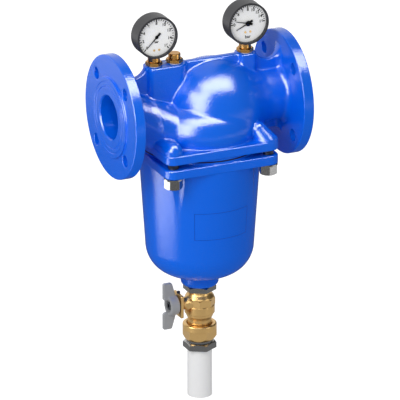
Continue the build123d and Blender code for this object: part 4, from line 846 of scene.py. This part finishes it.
wear(insert_plastic, "insert_head insert_base impeller jet_arms spring_guide")
wear(black_rubber, "bowl_gasket insert_rings union_gasket")
wear(bronze, "insert_seat_ring")
wear(stainless, "filter_cage rotor_axle valve_stem")
wear(woven, "upper_mesh main_mesh")
wear(chrome, "valve_ball")
wear(seat_white, "valve_seats")
wear(seal_fibre, "fitting_seals")
# The screw deep in the handle's recess wears the darker steel of painted shade.
wear(steel_in_painted_shade, "handle_screw")
wear(valve_brass, "stem_gland inlet_dial_rivets outlet_dial_rivets")
wear(brown_brass, "inlet_gauge_socket outlet_gauge_socket inlet_bourdon_tube outlet_bourdon_tube "
                  "inlet_gauge_movement outlet_gauge_movement")

# Return spring
# Three turns of stainless wire under the insert, which lift it back on to its seat after a flush.
# It is drawn here as a coil of even pitch that fills the part's height, its lower end on the bowl's floor.
SPRING_WIRE, SPRING_TURNS, INSERT_TRAVEL = 1.6, 3, 12.0
spring_low, spring_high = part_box("return_spring")
low, high = spring_low.z / MM, spring_high.z / MM
COIL_RADIUS = 21.0
angle = 2 * math.pi * SPRING_TURNS * np.linspace(0, 1, 48 * SPRING_TURNS + 1)
climb = (high - low - 2 * SPRING_WIRE) / (2 * math.pi * SPRING_TURNS)
out = np.stack([np.cos(angle), np.sin(angle), 0 * angle], axis=1)
middle = COIL_RADIUS * out + (low + SPRING_WIRE + climb * angle)[:, None] * np.array((0, 0, 1))
along = np.stack([-COIL_RADIUS * np.sin(angle), COIL_RADIUS * np.cos(angle), np.full(len(angle), climb)], axis=1)
up = np.cross(out, along)
up /= np.linalg.norm(up, axis=1)[:, None]
turn = np.linspace(0, 2 * math.pi, 12, endpoint=False)[:, None]
rows = [m + SPRING_WIRE * (np.cos(turn) * o + np.sin(turn) * u) for m, o, u in zip(middle, out, up)]
rows = [np.repeat(middle[:1], 12, axis=0)] + rows + [np.repeat(middle[-1:], 12, axis=0)]
spring = solid_piece("insert_spring", "return_spring", lofted(rows), stainless, sharp=60)
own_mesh(spring)

# Floor, light and camera
# A pale studio floor under the drain pipe, soft lamps above and to the left, a dark room in front, and a long lens.
# The camera stands where the photograph was taken from, looking down a little from the inlet's side.
floor_low = min(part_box(name)[0].z for name in nodes)


def stage_piece(name, points, faces, look):
    """A thing of the studio, which isn't part of the object."""
    thing = plain_piece(name, points, faces, look)
    thing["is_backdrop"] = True
    return thing


def when_seen(tree):
    """1 for what the camera sees, straight, mirrored or through glass, and 0 for light that spreads."""
    path = add_node(tree, "ShaderNodeLightPath", {})
    value = path.outputs["Is Camera Ray"]
    for other in ("Is Glossy Ray", "Is Transmission Ray"):
        value = add_node(tree, "ShaderNodeMath", {0: value, 1: path.outputs[other]}, operation="MAXIMUM").outputs[0]
    return value


paper = new_look("floor paper", (236, 236, 236), rough=0.9, shine=0.0)
tree = paper.node_tree
glow = add_node(tree, "ShaderNodeMath", {0: when_seen(tree), 1: 0.5}, operation="MULTIPLY")
tree.links.new(glow.outputs[0], tree.nodes["Principled BSDF"].inputs["Emission Strength"])
stage_piece("floor", [(x, y, floor_low) for x, y in ((-12, -12), (12, -12), (12, 12), (-12, 12))], [(0, 1, 2, 3)],
            paper)

world = bpy.data.worlds.new("studio")
bpy.context.scene.world = world
world.use_nodes = True
tree = world.node_tree
sky = tree.nodes["Background"]
sky.inputs["Color"].default_value = (1, 1, 1, 1)
sky.inputs["Strength"].default_value = 0.72
shown = add_node(tree, "ShaderNodeBackground", {"Color": (1, 1, 1, 1), "Strength": 1.0})
mix = add_node(tree, "ShaderNodeMixShader", {"Fac": when_seen(tree), 1: sky.outputs[0], 2: shown.outputs[0]})
tree.links.new(mix.outputs[0], tree.nodes["World Output"].inputs["Surface"])

MIDDLE = Vector((0.1456, 0.0, -0.1511))
TO_CAMERA = Vector((-0.3823, -0.8523, 0.3569)).normalized()
ASIDE = Vector((0.9124, -0.4093, 0.0)).normalized()
AHEAD = Vector((-0.4093, -0.9124, 0.0)).normalized()


def pieces_of(name, *looks):
    """A group of the pieces that have one of some finishes, for lamps that shine on them alone."""
    group = bpy.data.collections.new(name)
    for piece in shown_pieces():
        if piece.data.materials and piece.data.materials[0] in looks:
            group.objects.link(piece)
    return group


# Each lamp: what it shines on alone, its aim, the way to it (right of the view, towards the camera, up), its
# distance, width, height and strength.
painted = pieces_of("painted iron", blue_enamel)
steel = pieces_of("steel", zinc, steel_in_painted_shade)
brass = pieces_of("brass", valve_brass, brown_brass)
dome = Vector((AXIS_X + DOME_X * MM, 0, DOME_Z * MM))
down, floor_gap = (0, 0, -1), MIDDLE.z - floor_low - 0.004
for name, only, aim, (aside, ahead, up), distance, width, height, strength in (
        ("key", None, MIDDLE, (-0.45, 0.68, 0.60), 1.6, 0.7, 0.9, 6.0),
        ("overhead", painted, dome, (0.15, 0.33, 1.0), 1.0, 1.2, 0.6, 19.0),
        ("front", painted, dome, (-0.52, 0.74, 0.42), 1.0, 0.8, 0.85, 17.0),
        ("low", painted, MIDDLE, (-0.90, 0.33, -0.12), 0.62, 0.50, 0.50, 5.0),
        ("steel floor", steel, MIDDLE, down, floor_gap, 2.0, 2.0, 0.18),
        ("steel left", steel, MIDDLE, (-0.98, -0.17, -0.22), 0.9, 0.8, 0.5, 3.4),
        ("steel right", steel, MIDDLE, (0.98, 0.15, -0.22), 0.9, 0.9, 0.5, 0.8),
        ("brass floor", brass, MIDDLE, down, floor_gap, 2.4, 2.4, 0.5),
        ("brass left", brass, MIDDLE, (-0.80, 0.55, 0.25), 1.2, 0.5, 1.2, 7.0),
        ("brass front", brass, MIDDLE, (-0.10, 0.90, 0.30), 1.2, 1.3, 0.5, 2.8),
        ("brass right", brass, MIDDLE, (0.85, 0.50, 0.10), 1.2, 0.35, 1.0, 2.5)):
    way = (ASIDE * aside + AHEAD * ahead + Vector((0, 0, up))).normalized()
    lamp = bpy.data.lights.new(name, "AREA")
    lamp.shape = "RECTANGLE"
    lamp.size, lamp.size_y = width, height
    lamp.energy = strength * math.pi * width * height
    softbox = in_scene(name, lamp)
    softbox.location = aim + way * distance
    softbox.rotation_euler = way.to_track_quat("Z", "Y").to_euler()
    softbox.visible_glossy = only is not None
    softbox.visible_diffuse = only is None
    softbox.visible_camera = False
    if only:
        softbox.light_linking.receiver_collection = only

# A dark room, seen by mirrored light alone, gives paint and metal something dark to show: a curved screen round the
# front, a round carpet, a patch of carpet for the back of the outlet flange, and a card beside the neck.
COLUMNS, ROWS, SCREEN_RADIUS, CARPET_RADIUS = 37, 23, 4.0, 1.6
turn, lift = np.meshgrid(np.radians(np.linspace(-110, 168, COLUMNS)), np.radians(np.linspace(-20, 90, ROWS)),
                         indexing="ij")
aside, ahead, up = np.sin(turn) * np.cos(lift), np.cos(turn) * np.cos(lift), np.sin(lift)
screen = aside[..., None] * np.array(ASIDE) + ahead[..., None] * np.array(AHEAD) + up[..., None] * (0, 0, 1)
points = (SCREEN_RADIUS * screen.reshape(-1, 3) + np.array(MIDDLE)).tolist()
index = np.arange(COLUMNS * ROWS).reshape(COLUMNS, ROWS)
faces = np.stack([index[:-1, :-1], index[1:, :-1], index[1:, 1:], index[:-1, 1:]], axis=-1).reshape(-1, 4).tolist()
centre = MIDDLE + AHEAD * 0.3
carpet = [(centre.x + CARPET_RADIUS * math.cos(a), centre.y + CARPET_RADIUS * math.sin(a), floor_low + 0.0005)
          for a in np.radians(np.linspace(0, 360, 48, endpoint=False))]
patch = [(x, y, floor_low + 0.0008) for x, y in ((-0.42, 1.0), (0.3, 1.0), (0.3, 1.75), (-0.42, 1.75))]
card = [(AXIS_X + x * MM, y * MM, z * MM)
        for x, y, z in ((112, -8, 93), (143, -8, 93), (143, -68, 62), (112, -68, 62))]
for outline in (carpet, card, patch):
    faces.append(list(range(len(points), len(points) + len(outline))))
    points += outline
room = stage_piece("dark_room", points, faces, new_look("dark room", (0, 0, 0), rough=1.0, shine=0.0, glow=0.1))
room.visible_camera = room.visible_diffuse = room.visible_shadow = room.visible_transmission = False

camera_data = bpy.data.cameras.new("camera")
camera_data.lens = 1000
camera_data.clip_end = 100
camera = in_scene("camera", camera_data)
camera.location = MIDDLE + TO_CAMERA * 16.27
camera.rotation_euler = TO_CAMERA.to_track_quat("Z", "Y").to_euler()
bpy.context.scene.camera = camera
bpy.context.scene.view_settings.view_transform = "Standard"
